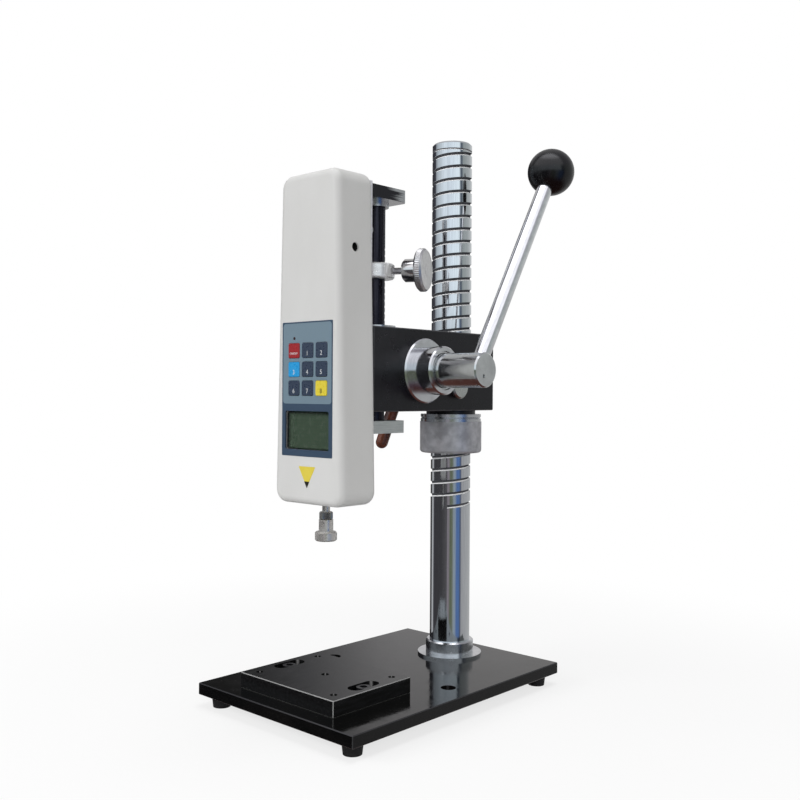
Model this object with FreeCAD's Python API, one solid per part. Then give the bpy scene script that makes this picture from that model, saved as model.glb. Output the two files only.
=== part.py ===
import FreeCAD, Part
import os
from math import acos, cos, pi, radians, sin, sqrt, tan

# Force gauge test stand in millimetres. +X is the lever's side, +Y runs back to the column and +Z up.
# The origin is on the bench, in the middle of the four rubber feet.

# Base plate and feet
BASE_WIDTH = 158.0
BASE_LENGTH = 226.0
BASE_THICKNESS = 8.5
BASE_EDGE = 0.6
FOOT_HEIGHT = 8.5
FOOT_DIAMETER = 14.5
FOOT_TAPER = 1.0
FOOT_INSET = 12.0
FOOT_RECESS_DIAMETER = 9.0
FOOT_RECESS_DEPTH = 5.0
FOOT_SCREW_HEAD_DIAMETER = 8.0
FOOT_SCREW_HEAD_HEIGHT = 3.0
FOOT_SCREW_DIAMETER = 4.0
FOOT_SCREW_BITE = 6.0
BENCH_HOLE_DIAMETER = 11.0
BENCH_HOLE_SPAN = 118.0
BENCH_HOLES_BEHIND_MIDDLE = 3.0

# Sample table
TABLE_WIDTH = 95.0
TABLE_LENGTH = 75.0
TABLE_THICKNESS = 11.2
TABLE_EDGE = 0.5
TABLE_CENTRE_HOLE_DIAMETER = 5.6
TABLE_CORNER_HOLE_DIAMETER = 5.0
TABLE_CORNER_SPAN_X = 76.0
TABLE_CORNER_SPAN_Y = 56.0
TABLE_SLOT_SPAN = 76.0
TABLE_SLOT_LENGTH = 26.0
TABLE_SCREW_HEAD_DIAMETER = 10.0
TABLE_SCREW_HEAD_HEIGHT = 6.0
TABLE_SCREW_DIAMETER = 6.0
TABLE_SCREW_BITE = 6.5
TABLE_SLOT_CLEARANCE = 0.5
TABLE_HEAD_DEPTH = 0.6
HEX_SOCKET_SHARE = 0.5
HEX_SOCKET_DEPTH_SHARE = 0.6

# Column, its foot ring and its screw
COLUMN_FROM_REAR = 37.4
COLUMN_DIAMETER = 32.0
COLUMN_LENGTH = 411.0
COLUMN_CHAMFER = 1.5
COLUMN_RIM_DROP = 6.5
COLUMN_RIM_GROOVE = 0.7
COLUMN_SCREW_DIAMETER = 10.0
COLUMN_SCREW_HEAD_DIAMETER = 19.0
COLUMN_SCREW_BITE = 22.0
COLUMN_SOCKET_ACROSS = 7.6
COLUMN_SOCKET_DEPTH = 4.2
RING_FLANGE_DIAMETER = 51.0
RING_FLANGE_THICKNESS = 2.0
RING_DIAMETER = 38.0
RING_HEIGHT = 12.2
RING_EDGE = 1.0

# Height nut under the head
NUT_OVER_PLATE = 162.4
NUT_DIAMETER = 49.6
NUT_HEIGHT = 25.0
NUT_EDGE = 2.5
NUT_RING_DIAMETER = 48.6
NUT_RING_HEIGHT = 6.0
NUT_RING_GROOVE = 0.8
WASHER_DIAMETER = 39.5
WASHER_HEIGHT = 3.1
RUNNING_CLEARANCE = 0.05

# Head block
HEAD_WIDTH = 50.0
HEAD_LENGTH = 140.0
HEAD_HEIGHT = 61.0
HEAD_REAR_WALL = 7.85
HEAD_EDGE = 0.8

# Lever, pinion and rack
HUB_FROM_COLUMN = 64.1
HUB_OVER_HEAD_BOTTOM = 30.0
GEAR_MODULE = 1.5
PINION_TEETH = 27
PINION_WIDTH = 14.0
PRESSURE_ANGLE = radians(20)
DEDENDUM = 1.25 * GEAR_MODULE
FLANK_START = 0.25
FLANK_STEPS = 3
BACKLASH = 0.12
RACK_LINE_FROM_BAR = 5.75
RACK_SPACES_BELOW = 3
RACK_SPACES_ABOVE = 19
CAVITY_CLEARANCE = 0.45
CAVITY_SIDE_CLEARANCE = 1.0
LEFT_JOURNAL_DIAMETER = 16.0
LEFT_JOURNAL_END_WALL = 3.0
HOUSING_FLANGE_DIAMETER = 48.0
HOUSING_FLANGE_THICKNESS = 5.0
HOUSING_PILOT = 4.0
HOUSING_DRUM_DIAMETER = 35.6
HOUSING_DRUM_LENGTH = 17.4
HOUSING_RECESS_DIAMETER = 28.6
HOUSING_RECESS_DEPTH = 6.0
SHAFT_DIAMETER = 20.0
HUB_DIAMETER = 25.0
HUB_END = 84.4
HUB_END_GAP = 1.0
HUB_EDGE = 1.0
HUB_PIN_HOLE_DIAMETER = 2.6
HUB_PIN_HOLE_FROM_AXIS = 5.0
LEVER_FROM_HUB_END = 8.8
LEVER_DIAMETER = 12.0
LEVER_SEAT_DEPTH = 8.0
LEVER_LENGTH = 181.6
LEVER_LEAN = radians(30.8)
BALL_DIAMETER = 36.0
BALL_FLAT_DIAMETER = 13.6
BALL_BITE = 14.0

# Column clamp
CLAMP_FROM_COLUMN = 23.6
CLAMP_OVER_HEAD_BOTTOM = 18.5
COTTER_DIAMETER = 18.4
COTTER_STICK_OUT = 5.0
COTTER_GAP = 2.0
COTTER_EDGE = 1.2
STUD_DIAMETER = 8.0
STUD_PAST_MIDDLE = 22.5
STUD_IN_HUB = 12.0
STUD_END_GAP = 1.0
CLAMP_HUB_DIAMETER = 17.0
CLAMP_HUB_LENGTH = 15.0
CLAMP_HUB_GAP = 2.0
CLAMP_HANDLE_DIAMETER = 10.0
CLAMP_HANDLE_LENGTH = 47.6
CLAMP_ROOT_LENGTH = 17.0
CLAMP_ROOT_DIAMETER = 13.6
CLAMP_ROOT_FROM_FACE = 6.8
CLAMP_TANG_DIAMETER = 8.0
CLAMP_HANDLE_FORWARD = radians(16.0)
CLAMP_HANDLE_OUTWARD = radians(10.0)

# Ram: rack bar, arms and gauge plate
BAR_DIAMETER = 16.0
BUSH_DIAMETER = 20.0
BUSH_LENGTH = 10.0
BUSH_FLANGE_DIAMETER = 32.0
BUSH_FLANGE_THICKNESS = 2.0
BAR_PASSAGE_CLEARANCE = 0.5
RAM_GAP = 6.8
ARM_SPAN = 160.3
ARM_WIDTH = 40.0
ARM_LENGTH = 42.9
ARM_THICKNESS = 9.0
ARM_REAR_FROM_BAR = 14.4
ARM_CHAMFER = 3.0
SPIGOT_DIAMETER = 10.0
BAR_SCREW_DIAMETER = 5.0
BAR_SCREW_HEAD_DIAMETER = 14.0
BAR_SCREW_HEAD_HEIGHT = 2.5
BAR_SCREW_BITE = 16.0
LOCK_RING_DIAMETER = 21.0
LOCK_RING_HEIGHT = 3.0
PLATE_WIDTH = 50.4
PLATE_THICKNESS = 3.0
PLATE_SCREW_DIAMETER = 4.0
PLATE_SCREW_HEAD_DIAMETER = 8.0
PLATE_SCREW_HEAD_HEIGHT = 2.2
PLATE_SCREW_BITE = 9.0
PLATE_SCREW_SPAN = 24.0
GAUGE_SCREW_SPAN_X = 40.0
GAUGE_SCREW_SPAN_Z = 110.0
GAUGE_SCREW_HEAD_HEIGHT = 2.2
GAUGE_SCREW_BITE = 4.5

# Stop collar and its thumb screw
STOP_OVER_HEAD = 36.7
STOP_DIAMETER = 30.0
STOP_HEIGHT = 11.0
STOP_EDGE = 1.0
STOP_SPOT_DIAMETER = 9.0
STOP_SPOT_DEPTH = 1.6
THUMB_ANGLE = radians(24)
THUMB_SHANK_DIAMETER = 5.0
THUMB_TIP_GAP = 0.3
THUMB_HUB_DIAMETER = 17.0
THUMB_HUB_START = 23.0
THUMB_HUB_LENGTH = 11.5
THUMB_DISC_DIAMETER = 31.5
THUMB_DISC_THICKNESS = 6.2
THUMB_HUB_EDGE = 1.6
THUMB_DISC_EDGE = 1.4

# Force gauge
GAUGE_BELOW_ARM = 48.6
GAUGE_HEIGHT = 231.0
GAUGE_WIDTH = 69.5
GAUGE_TOP_WIDTH = 58.5
GAUGE_DEPTH = 34.9
GAUGE_CORNER = 9.6
GAUGE_FRONT_EDGE = 5.2
GAUGE_BACK_EDGE = 5.0
GAUGE_WALL = 2.6
GAUGE_PARTING = 21.0
PANEL_WIDTH = 51.4
PANEL_HEIGHT = 93.6
PANEL_BOTTOM = 33.4
PANEL_THICKNESS = 1.2
PANEL_PROUD = 0.2
PANEL_CORNER = 0.8
PANEL_CUT_DEPTH = 7.8
KEY_WIDTH = 11.4
KEY_HEIGHT = 10.4
KEY_CORNER = 1.4
KEY_DEPTH = 3.4
KEY_PROUD = 0.7
KEY_EDGE = 0.3
KEY_CLEARANCE = 0.2
KEY_PITCH_X = 14.0
KEY_PITCH_Z = 13.1
KEYS_RIGHT_OF_MIDDLE = 0.8
KEY_MIDDLE_OVER_BOTTOM = 93.9
DISPLAY_WIDTH = 44.4
DISPLAY_HEIGHT = 26.8
DISPLAY_OVER_BOTTOM = 51.5
DISPLAY_MODULE_DEPTH = 4.0
DISPLAY_MODULE_MARGIN = 1.0
WINDOW_THICKNESS = 1.0
BOARD_THICKNESS = 1.6
BOARD_WIDTH = 46.0
BOARD_HEIGHT = 130.0
BOARD_BOTTOM = 28.0
BOARD_HOLE_DIAMETER = 3.0
BOSS_DIAMETER = 7.0
BOSS_SPAN_X = 38.0
BATTERY_WIDTH = 30.0
BATTERY_HEIGHT = 54.0
BATTERY_TOP_GAP = 8.0
BATTERY_EDGE = 2.0
LOAD_CELL_WIDTH = 34.0
LOAD_CELL_DEPTH = 12.0
LOAD_CELL_HEIGHT = 44.0
LOAD_CELL_WINDOW = 9.0
LOAD_CELL_WINDOW_HEIGHT = 28.6
LOAD_CELL_WINDOW_REACH = 7.5
LOAD_CELL_SLOT = 6.0
JACK_OVER_BOTTOM = 177.4
JACK_FROM_BACK = 18.8
JACK_DIAMETER = 6.0
JACK_DEPTH = 8.0
JACK_WALL = 1.4
JACK_FACE_DEPTH = 1.4
JACK_PORT_DIAMETER = 6.4

# Measuring shaft, lock nut and compression foot
SHAFT_FROM_BACK = 16.0
STEM_DIAMETER = 5.6
STEM_ADAPTER_BITE = 7.0
STEM_PORT_CLEARANCE = 0.6
STEM_CELL_BITE = 12.0
STEM_CELL_GAP = 0.8
NECK_LENGTH = 6.1
LOCK_NUT_DIAMETER = 9.6
LOCK_NUT_HEIGHT = 5.5
LOCK_NUT_EDGE = 0.5
ADAPTER_DIAMETER = 10.2
ADAPTER_HEIGHT = 8.4
ADAPTER_FLAT = 1.0
ADAPTER_FLAT_MARGIN = 1.5
COMPRESSION_FOOT_DIAMETER = 15.6
COMPRESSION_FOOT_HEIGHT = 6.5
COMPRESSION_FOOT_EDGE = 0.8

X = FreeCAD.Vector(1, 0, 0)
Y = FreeCAD.Vector(0, 1, 0)
Z = FreeCAD.Vector(0, 0, 1)


def point(x, y, z):
    return FreeCAD.Vector(x, y, z)


def cuboid(low, high):
    size = [b - a for a, b in zip(low, high)]
    return Part.makeBox(*size, point(*low))


def rod(start, direction, diameter, length):
    return Part.makeCylinder(diameter / 2, length, start, direction)


def turned(start, direction, outline):
    """A body of revolution from (radius, height) pairs, its heights counted from start along direction."""
    corners = [point(radius, 0, height) for radius, height in outline]
    face = Part.Face(Part.makePolygon(corners + corners[:1]))
    body = face.revolve(point(0, 0, 0), Z, 360)
    turn = FreeCAD.Rotation(Z, direction)
    body.Placement = FreeCAD.Placement(start, turn)
    return body


def round_plate(width, height, thickness, corner, centre):
    """A plate with rounded corners that stands in the XZ plane, its front face at the centre's Y."""
    low = point(centre.x - width / 2, centre.y, centre.z - height / 2)
    plate = Part.makeBox(width, thickness, height, low)
    edges = [e for e in plate.Edges if abs(e.tangentAt(e.FirstParameter).y) > 0.99]
    return plate.makeFillet(corner, edges)


def hex_socket(top, direction, across, depth):
    """The hexagonal recess of a socket screw, cut inwards from the head's top face."""
    corner = across / sqrt(3)
    turns = [radians(60 * i) for i in range(6)]
    ring = [point(corner * cos(turn), corner * sin(turn), 0) for turn in turns]
    prism = Part.Face(Part.makePolygon(ring + ring[:1])).extrude(point(0, 0, depth))
    prism.Placement = FreeCAD.Placement(top, FreeCAD.Rotation(Z, direction * -1))
    return prism


def socket_screw(top, direction, head_diameter, head_height, diameter, bite):
    """A screw whose head's top face is at top and looks along direction."""
    inward = direction * -1
    head = rod(top, inward, head_diameter, head_height)
    shank = rod(top + inward * head_height, inward, diameter, bite)
    across = head_diameter * HEX_SOCKET_SHARE
    return head.fuse(shank).cut(hex_socket(top, direction, across, head_height * HEX_SOCKET_DEPTH_SHARE))


def joined(first, others):
    body = first.fuse(others)
    return body.removeSplitter()


def save(node, *solids):
    shape = solids[0] if len(solids) == 1 else Part.makeCompound(list(solids))
    shape.exportStep(f"parts/{node}.step")


# Places that follow from the sizes
plate_top = FOOT_HEIGHT + BASE_THICKNESS
table_top = plate_top + TABLE_THICKNESS
column_y = BASE_LENGTH / 2 - COLUMN_FROM_REAR
nut_bottom = plate_top + NUT_OVER_PLATE
ring_bottom = nut_bottom + NUT_HEIGHT
washer_bottom = ring_bottom + NUT_RING_HEIGHT
head_bottom = washer_bottom + WASHER_HEIGHT
head_top = head_bottom + HEAD_HEIGHT
head_rear = column_y + COLUMN_DIAMETER / 2 + HEAD_REAR_WALL
head_front = head_rear - HEAD_LENGTH
head_side = HEAD_WIDTH / 2
hub_y = column_y - HUB_FROM_COLUMN
hub_z = head_bottom + HUB_OVER_HEAD_BOTTOM
pitch_radius = GEAR_MODULE * PINION_TEETH / 2
tip_radius = pitch_radius + GEAR_MODULE
root_radius = pitch_radius - DEDENDUM
rack_line = hub_y - pitch_radius
bar_y = rack_line - RACK_LINE_FROM_BAR
lower_arm_top = head_bottom - RAM_GAP
lower_arm_bottom = lower_arm_top - ARM_THICKNESS
upper_arm_bottom = lower_arm_top + ARM_SPAN
upper_arm_top = upper_arm_bottom + ARM_THICKNESS
arm_rear = bar_y + ARM_REAR_FROM_BAR
plate_back = arm_rear - ARM_LENGTH
gauge_back = plate_back - PLATE_THICKNESS
gauge_front = gauge_back - GAUGE_DEPTH
gauge_bottom = lower_arm_bottom - GAUGE_BELOW_ARM
gauge_top = gauge_bottom + GAUGE_HEIGHT
load_y = gauge_back - SHAFT_FROM_BACK
column_bore = COLUMN_DIAMETER + 2 * RUNNING_CLEARANCE


# Base plate with its bench holes, foot threads and the countersink of the column screw
def base_plate():
    plate = cuboid(
        (-BASE_WIDTH / 2, -BASE_LENGTH / 2, FOOT_HEIGHT), (BASE_WIDTH / 2, BASE_LENGTH / 2, plate_top)
    )
    plate = plate.makeChamfer(BASE_EDGE, plate.Edges)
    below = point(0, BENCH_HOLES_BEHIND_MIDDLE, FOOT_HEIGHT)
    holes = []
    for side in (-1, 1):
        holes.append(rod(below + X * side * BENCH_HOLE_SPAN / 2, Z, BENCH_HOLE_DIAMETER, BASE_THICKNESS))
    for place in foot_places():
        holes.append(rod(place + Z * FOOT_HEIGHT, Z, FOOT_SCREW_DIAMETER, FOOT_SCREW_BITE))
    holes.append(column_screw_body())
    for side in (-1, 1):
        screw = table_screw_place(side) + Z * plate_top
        holes.append(rod(screw, Z * -1, TABLE_SCREW_DIAMETER, TABLE_SCREW_BITE))
    return plate.cut(holes)


def foot_places():
    x = BASE_WIDTH / 2 - FOOT_INSET
    y = BASE_LENGTH / 2 - FOOT_INSET
    return [point(i * x, j * y, 0) for i in (-1, 1) for j in (-1, 1)]


def rubber_foot(place):
    radius = FOOT_DIAMETER / 2
    recess = FOOT_RECESS_DIAMETER / 2
    bore = FOOT_SCREW_DIAMETER / 2
    return turned(
        place,
        Z,
        [
            (recess, 0),
            (radius - FOOT_TAPER, 0),
            (radius, FOOT_HEIGHT),
            (bore, FOOT_HEIGHT),
            (bore, FOOT_RECESS_DEPTH),
            (recess, FOOT_RECESS_DEPTH),
        ],
    )


def foot_screw(place):
    """A cheese head screw from below, its head on the floor of the foot's recess."""
    head_bottom_z = FOOT_RECESS_DEPTH - FOOT_SCREW_HEAD_HEIGHT
    shank = FOOT_HEIGHT - FOOT_RECESS_DEPTH + FOOT_SCREW_BITE
    return socket_screw(
        place + Z * head_bottom_z,
        Z * -1,
        FOOT_SCREW_HEAD_DIAMETER,
        FOOT_SCREW_HEAD_HEIGHT,
        FOOT_SCREW_DIAMETER,
        shank,
    )


# Sample table: centre thread, corner threads and two counterbored slots for its screws
def table_screw_place(side):
    return point(side * TABLE_SLOT_SPAN / 2, load_y, 0)


def slot_cut(side, width, bottom, top):
    """A round-ended slot along Y. The ends of every width lie the same way in from the counterbore's."""
    head_width = TABLE_SCREW_HEAD_DIAMETER + 2 * TABLE_SLOT_CLEARANCE
    reach = (TABLE_SLOT_LENGTH - head_width) / 2
    centre = table_screw_place(side)
    middle = cuboid(
        (centre.x - width / 2, centre.y - reach, bottom), (centre.x + width / 2, centre.y + reach, top)
    )
    ends = [rod(point(centre.x, centre.y + i * reach, bottom), Z, width, top - bottom) for i in (-1, 1)]
    return joined(middle, ends)


def sample_table():
    low = (-TABLE_WIDTH / 2, load_y - TABLE_LENGTH / 2, plate_top)
    high = (TABLE_WIDTH / 2, load_y + TABLE_LENGTH / 2, table_top)
    table = cuboid(low, high)
    table = table.makeChamfer(TABLE_EDGE, table.Edges)
    centre = point(0, load_y, plate_top)
    cuts = [rod(centre, Z, TABLE_CENTRE_HOLE_DIAMETER, TABLE_THICKNESS)]
    for i in (-1, 1):
        for j in (-1, 1):
            place = centre + X * i * TABLE_CORNER_SPAN_X / 2 + Y * j * TABLE_CORNER_SPAN_Y / 2
            cuts.append(rod(place, Z, TABLE_CORNER_HOLE_DIAMETER, TABLE_THICKNESS))
    seat = table_top - TABLE_HEAD_DEPTH - TABLE_SCREW_HEAD_HEIGHT
    for side in (-1, 1):
        cuts.append(slot_cut(side, TABLE_SCREW_DIAMETER + 2 * TABLE_SLOT_CLEARANCE, plate_top, seat))
        cuts.append(slot_cut(side, TABLE_SCREW_HEAD_DIAMETER + 2 * TABLE_SLOT_CLEARANCE, seat, table_top))
    return table.cut(cuts)


def table_screw(side):
    top = table_screw_place(side) + Z * (table_top - TABLE_HEAD_DEPTH)
    shank = TABLE_THICKNESS - TABLE_HEAD_DEPTH - TABLE_SCREW_HEAD_HEIGHT + TABLE_SCREW_BITE
    return socket_screw(
        top, Z, TABLE_SCREW_HEAD_DIAMETER, TABLE_SCREW_HEAD_HEIGHT, TABLE_SCREW_DIAMETER, shank
    )


# Column with its chamfered top, rim groove and foot thread
def column():
    radius = COLUMN_DIAMETER / 2
    bore = COLUMN_SCREW_DIAMETER / 2
    rim = COLUMN_LENGTH - COLUMN_RIM_DROP
    return turned(
        point(0, column_y, plate_top),
        Z,
        [
            (bore, 0),
            (radius, 0),
            (radius, rim - COLUMN_RIM_GROOVE),
            (radius - COLUMN_RIM_GROOVE, rim),
            (radius, rim + COLUMN_RIM_GROOVE),
            (radius, COLUMN_LENGTH - COLUMN_CHAMFER),
            (radius - COLUMN_CHAMFER, COLUMN_LENGTH),
            (0, COLUMN_LENGTH),
            (0, COLUMN_SCREW_BITE),
            (bore, COLUMN_SCREW_BITE),
        ],
    )


def column_screw_body():
    """A countersunk screw from below, its head flush with the base plate's underside."""
    head = COLUMN_SCREW_HEAD_DIAMETER / 2
    shank = COLUMN_SCREW_DIAMETER / 2
    cone = head - shank
    length = BASE_THICKNESS + COLUMN_SCREW_BITE
    outline = [(0, 0), (head, 0), (shank, cone), (shank, length), (0, length)]
    return turned(point(0, column_y, FOOT_HEIGHT), Z, outline)


def column_screw():
    bottom = point(0, column_y, FOOT_HEIGHT)
    socket = hex_socket(bottom, Z * -1, COLUMN_SOCKET_ACROSS, COLUMN_SOCKET_DEPTH)
    return column_screw_body().cut(socket)


def column_ring():
    inner = COLUMN_DIAMETER / 2
    outer = RING_DIAMETER / 2
    flange = RING_FLANGE_DIAMETER / 2
    return turned(
        point(0, column_y, plate_top),
        Z,
        [
            (inner, 0),
            (flange, 0),
            (flange, RING_FLANGE_THICKNESS),
            (outer, RING_FLANGE_THICKNESS),
            (outer, RING_HEIGHT - RING_EDGE),
            (outer - RING_EDGE, RING_HEIGHT),
            (inner, RING_HEIGHT),
        ],
    )


# Height nut, its polished ring and the thrust washer below the head
def height_nut():
    outer = NUT_DIAMETER / 2
    inner = column_bore / 2
    body = turned(
        point(0, column_y, nut_bottom), Z, [(inner, 0), (outer, 0), (outer, NUT_HEIGHT), (inner, NUT_HEIGHT)]
    )
    rim = [e for e in body.Edges if e.BoundBox.ZMax < nut_bottom + 0.1 and e.BoundBox.XMax > outer - 0.1]
    return body.makeFillet(NUT_EDGE, rim)


def nut_ring():
    outer = NUT_RING_DIAMETER / 2
    inner = column_bore / 2
    middle = NUT_RING_HEIGHT / 2
    return turned(
        point(0, column_y, ring_bottom),
        Z,
        [
            (inner, 0),
            (outer, 0),
            (outer, middle - NUT_RING_GROOVE),
            (outer - NUT_RING_GROOVE, middle),
            (outer, middle + NUT_RING_GROOVE),
            (outer, NUT_RING_HEIGHT),
            (inner, NUT_RING_HEIGHT),
        ],
    )


def thrust_washer():
    ring = rod(point(0, column_y, washer_bottom), Z, WASHER_DIAMETER, WASHER_HEIGHT)
    return ring.cut(rod(point(0, column_y, washer_bottom), Z, column_bore, WASHER_HEIGHT))


# Head block: column bore, pinion cavity, bar passage with its bush seats, and the cotters' cross bore
def cavity_left():
    return -PINION_WIDTH / 2 - CAVITY_SIDE_CLEARANCE


def head_block():
    low = (-head_side, head_front, head_bottom)
    high = (head_side, head_rear, head_top)
    block = cuboid(low, high)
    block = block.makeChamfer(HEAD_EDGE, block.Edges)
    hub = point(0, hub_y, hub_z)
    bar = point(0, bar_y, head_bottom)
    passage = BAR_DIAMETER + 2 * BAR_PASSAGE_CLEARANCE
    journal = LEFT_JOURNAL_DIAMETER + 2 * RUNNING_CLEARANCE
    journal_start = -head_side + LEFT_JOURNAL_END_WALL
    cuts = [
        rod(point(0, column_y, head_bottom), Z, column_bore, HEAD_HEIGHT),
        rod(bar, Z, passage, HEAD_HEIGHT),
        rod(bar, Z, BUSH_DIAMETER, BUSH_LENGTH),
        rod(bar + Z * (HEAD_HEIGHT - BUSH_LENGTH), Z, BUSH_DIAMETER, BUSH_LENGTH),
        rod(hub + X * cavity_left(), X, 2 * (tip_radius + CAVITY_CLEARANCE), head_side - cavity_left()),
        rod(hub + X * journal_start, X, journal, cavity_left() - journal_start),
        rod(clamp_axis() - X * head_side, X, COTTER_DIAMETER, HEAD_WIDTH),
    ]
    return block.cut(cuts)


def guide_bush(bottom, flange):
    body = rod(point(0, bar_y, bottom), Z, BUSH_DIAMETER, BUSH_LENGTH)
    if flange:
        top = point(0, bar_y, bottom + BUSH_LENGTH)
        rim = rod(top, Z, BUSH_FLANGE_DIAMETER, BUSH_FLANGE_THICKNESS)
        body = joined(body, [rim])
    bore = BAR_DIAMETER + 2 * RUNNING_CLEARANCE
    return body.cut(rod(point(0, bar_y, bottom), Z, bore, BUSH_LENGTH + BUSH_FLANGE_THICKNESS))


# Column clamp: two cotters in the cross bore, their stud and the clamp lever on the far side
def clamp_axis():
    return point(0, column_y - CLAMP_FROM_COLUMN, head_bottom + CLAMP_OVER_HEAD_BOTTOM)


def cotter(start, length, direction):
    """A round block along direction with the column's hollow in its inner end."""
    radius = COTTER_DIAMETER / 2
    shoulder = length - COTTER_EDGE
    outline = [(0, 0), (radius, 0), (radius, shoulder), (radius - COTTER_EDGE, length), (0, length)]
    block = turned(clamp_axis() + direction * start, direction, outline)
    hollow = rod(point(0, column_y, head_bottom), Z, column_bore, HEAD_HEIGHT)
    return block.cut([hollow, clamp_stud()])


def clamp_stud():
    start = -head_side - CLAMP_HUB_GAP - STUD_IN_HUB
    return rod(clamp_axis() + X * start, X, STUD_DIAMETER, STUD_PAST_MIDDLE - start)


def clamp_lever():
    """A hub on the stud with a tapered root that leans out, forward and down."""
    hub_start = clamp_axis() - X * (head_side + CLAMP_HUB_GAP)
    hub_radius = CLAMP_HUB_DIAMETER / 2
    edge = COTTER_EDGE
    outline = [
        (0, 0),
        (hub_radius, 0),
        (hub_radius, CLAMP_HUB_LENGTH - edge),
        (hub_radius - edge, CLAMP_HUB_LENGTH),
        (0, CLAMP_HUB_LENGTH),
    ]
    hub = turned(hub_start, X * -1, outline)
    start = clamp_handle_start()
    wide = CLAMP_ROOT_DIAMETER / 2
    narrow = CLAMP_TANG_DIAMETER / 2
    root = Part.makeCone(wide, narrow, CLAMP_ROOT_LENGTH, start, clamp_direction())
    tang = rod(start, clamp_direction(), CLAMP_TANG_DIAMETER, CLAMP_ROOT_LENGTH + CLAMP_HANDLE_DIAMETER)
    bore = rod(hub_start, X * -1, STUD_DIAMETER + 2 * RUNNING_CLEARANCE, STUD_IN_HUB + STUD_END_GAP)
    return joined(hub, [root, tang]).cut(bore)


def clamp_direction():
    down = cos(CLAMP_HANDLE_FORWARD)
    forward = sin(CLAMP_HANDLE_FORWARD)
    direction = point(-tan(CLAMP_HANDLE_OUTWARD), -forward, -down)
    return direction.normalize()


def clamp_handle_start():
    return clamp_axis() - X * (head_side + CLAMP_HUB_GAP + CLAMP_ROOT_FROM_FACE)


def clamp_handle():
    radius = CLAMP_HANDLE_DIAMETER / 2
    start = clamp_handle_start() + clamp_direction() * CLAMP_ROOT_LENGTH
    length = CLAMP_HANDLE_LENGTH - CLAMP_ROOT_LENGTH
    sleeve = rod(start, clamp_direction(), CLAMP_HANDLE_DIAMETER, length)
    tip = Part.makeSphere(radius, start + clamp_direction() * length)
    tang = rod(start, clamp_direction(), CLAMP_TANG_DIAMETER, CLAMP_HANDLE_DIAMETER)
    return joined(sleeve, [tip]).cut(tang)


# Pinion with its shaft, the lever's housing, hub, rod and ball
def flank_angle(radius):
    """Half of a tooth's angle at this radius, on an involute flank."""
    base_radius = pitch_radius * cos(PRESSURE_ANGLE)
    at_pitch = (pi * GEAR_MODULE / 2 - BACKLASH) / 2 / pitch_radius
    pitch_involute = tan(PRESSURE_ANGLE) - PRESSURE_ANGLE
    if radius <= base_radius:
        return at_pitch + pitch_involute
    slope = acos(base_radius / radius)
    return at_pitch + pitch_involute - (tan(slope) - slope)


def pinion_outline():
    """Corners round the pinion in the YZ plane, with one tooth centred on the rack."""
    depth = tip_radius - root_radius
    shares = [FLANK_START + (1 - FLANK_START) * i / FLANK_STEPS for i in range(FLANK_STEPS + 1)]
    radii = [root_radius] + [root_radius + depth * share for share in shares]
    corners = []
    for tooth in range(PINION_TEETH):
        middle = pi + 2 * pi * tooth / PINION_TEETH
        rising = [(radius, middle - flank_angle(radius)) for radius in radii]
        falling = [(radius, middle + flank_angle(radius)) for radius in reversed(radii)]
        corners += rising + falling
    return [point(0, hub_y + r * cos(a), hub_z + r * sin(a)) for r, a in corners]


def pinion():
    corners = pinion_outline()
    gear = Part.Face(Part.makePolygon(corners + corners[:1])).extrude(X * PINION_WIDTH)
    gear.translate(X * -PINION_WIDTH / 2)
    hub = point(0, hub_y, hub_z)
    journal_length = head_side - LEFT_JOURNAL_END_WALL - CAVITY_SIDE_CLEARANCE
    left = rod(hub - X * journal_length, X, LEFT_JOURNAL_DIAMETER, journal_length)
    right = rod(hub, X, SHAFT_DIAMETER, hub_start())
    return joined(gear, [left, right])


def drum_end():
    return head_side + HOUSING_FLANGE_THICKNESS + HOUSING_DRUM_LENGTH


def hub_start():
    return drum_end() - HOUSING_RECESS_DEPTH + HUB_END_GAP


def lever_housing():
    flange = HOUSING_FLANGE_DIAMETER / 2
    pilot = tip_radius + CAVITY_CLEARANCE - RUNNING_CLEARANCE
    drum = HOUSING_DRUM_DIAMETER / 2
    recess = HOUSING_RECESS_DIAMETER / 2
    bore = SHAFT_DIAMETER / 2 + RUNNING_CLEARANCE
    front = HOUSING_PILOT + HOUSING_FLANGE_THICKNESS
    end = front + HOUSING_DRUM_LENGTH
    edge = HUB_EDGE
    return turned(
        point(head_side - HOUSING_PILOT, hub_y, hub_z),
        X,
        [
            (bore, 0),
            (pilot, 0),
            (pilot, HOUSING_PILOT),
            (flange, HOUSING_PILOT),
            (flange, front - edge),
            (flange - edge, front),
            (drum, front),
            (drum, end - edge),
            (drum - edge, end),
            (recess, end),
            (recess, end - HOUSING_RECESS_DEPTH),
            (bore, end - HOUSING_RECESS_DEPTH),
        ],
    )


def lever_hub():
    radius = HUB_DIAMETER / 2
    length = HUB_END - hub_start()
    outline = [(0, 0), (radius, 0), (radius, length - HUB_EDGE), (radius - HUB_EDGE, length), (0, length)]
    hub = turned(point(hub_start(), hub_y, hub_z), X, outline)
    seat = rod(lever_foot(), lever_direction(), LEVER_DIAMETER, HUB_DIAMETER)
    pin_place = lever_centre() - lever_direction() * HUB_PIN_HOLE_FROM_AXIS
    pin_hole = rod(pin_place, X, HUB_PIN_HOLE_DIAMETER, LEVER_FROM_HUB_END)
    return hub.cut([seat, pin_hole])


def lever_direction():
    return point(0, sin(LEVER_LEAN), cos(LEVER_LEAN))


def lever_centre():
    return point(HUB_END - LEVER_FROM_HUB_END, hub_y, hub_z)


def lever_foot():
    return lever_centre() - lever_direction() * LEVER_SEAT_DEPTH


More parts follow.
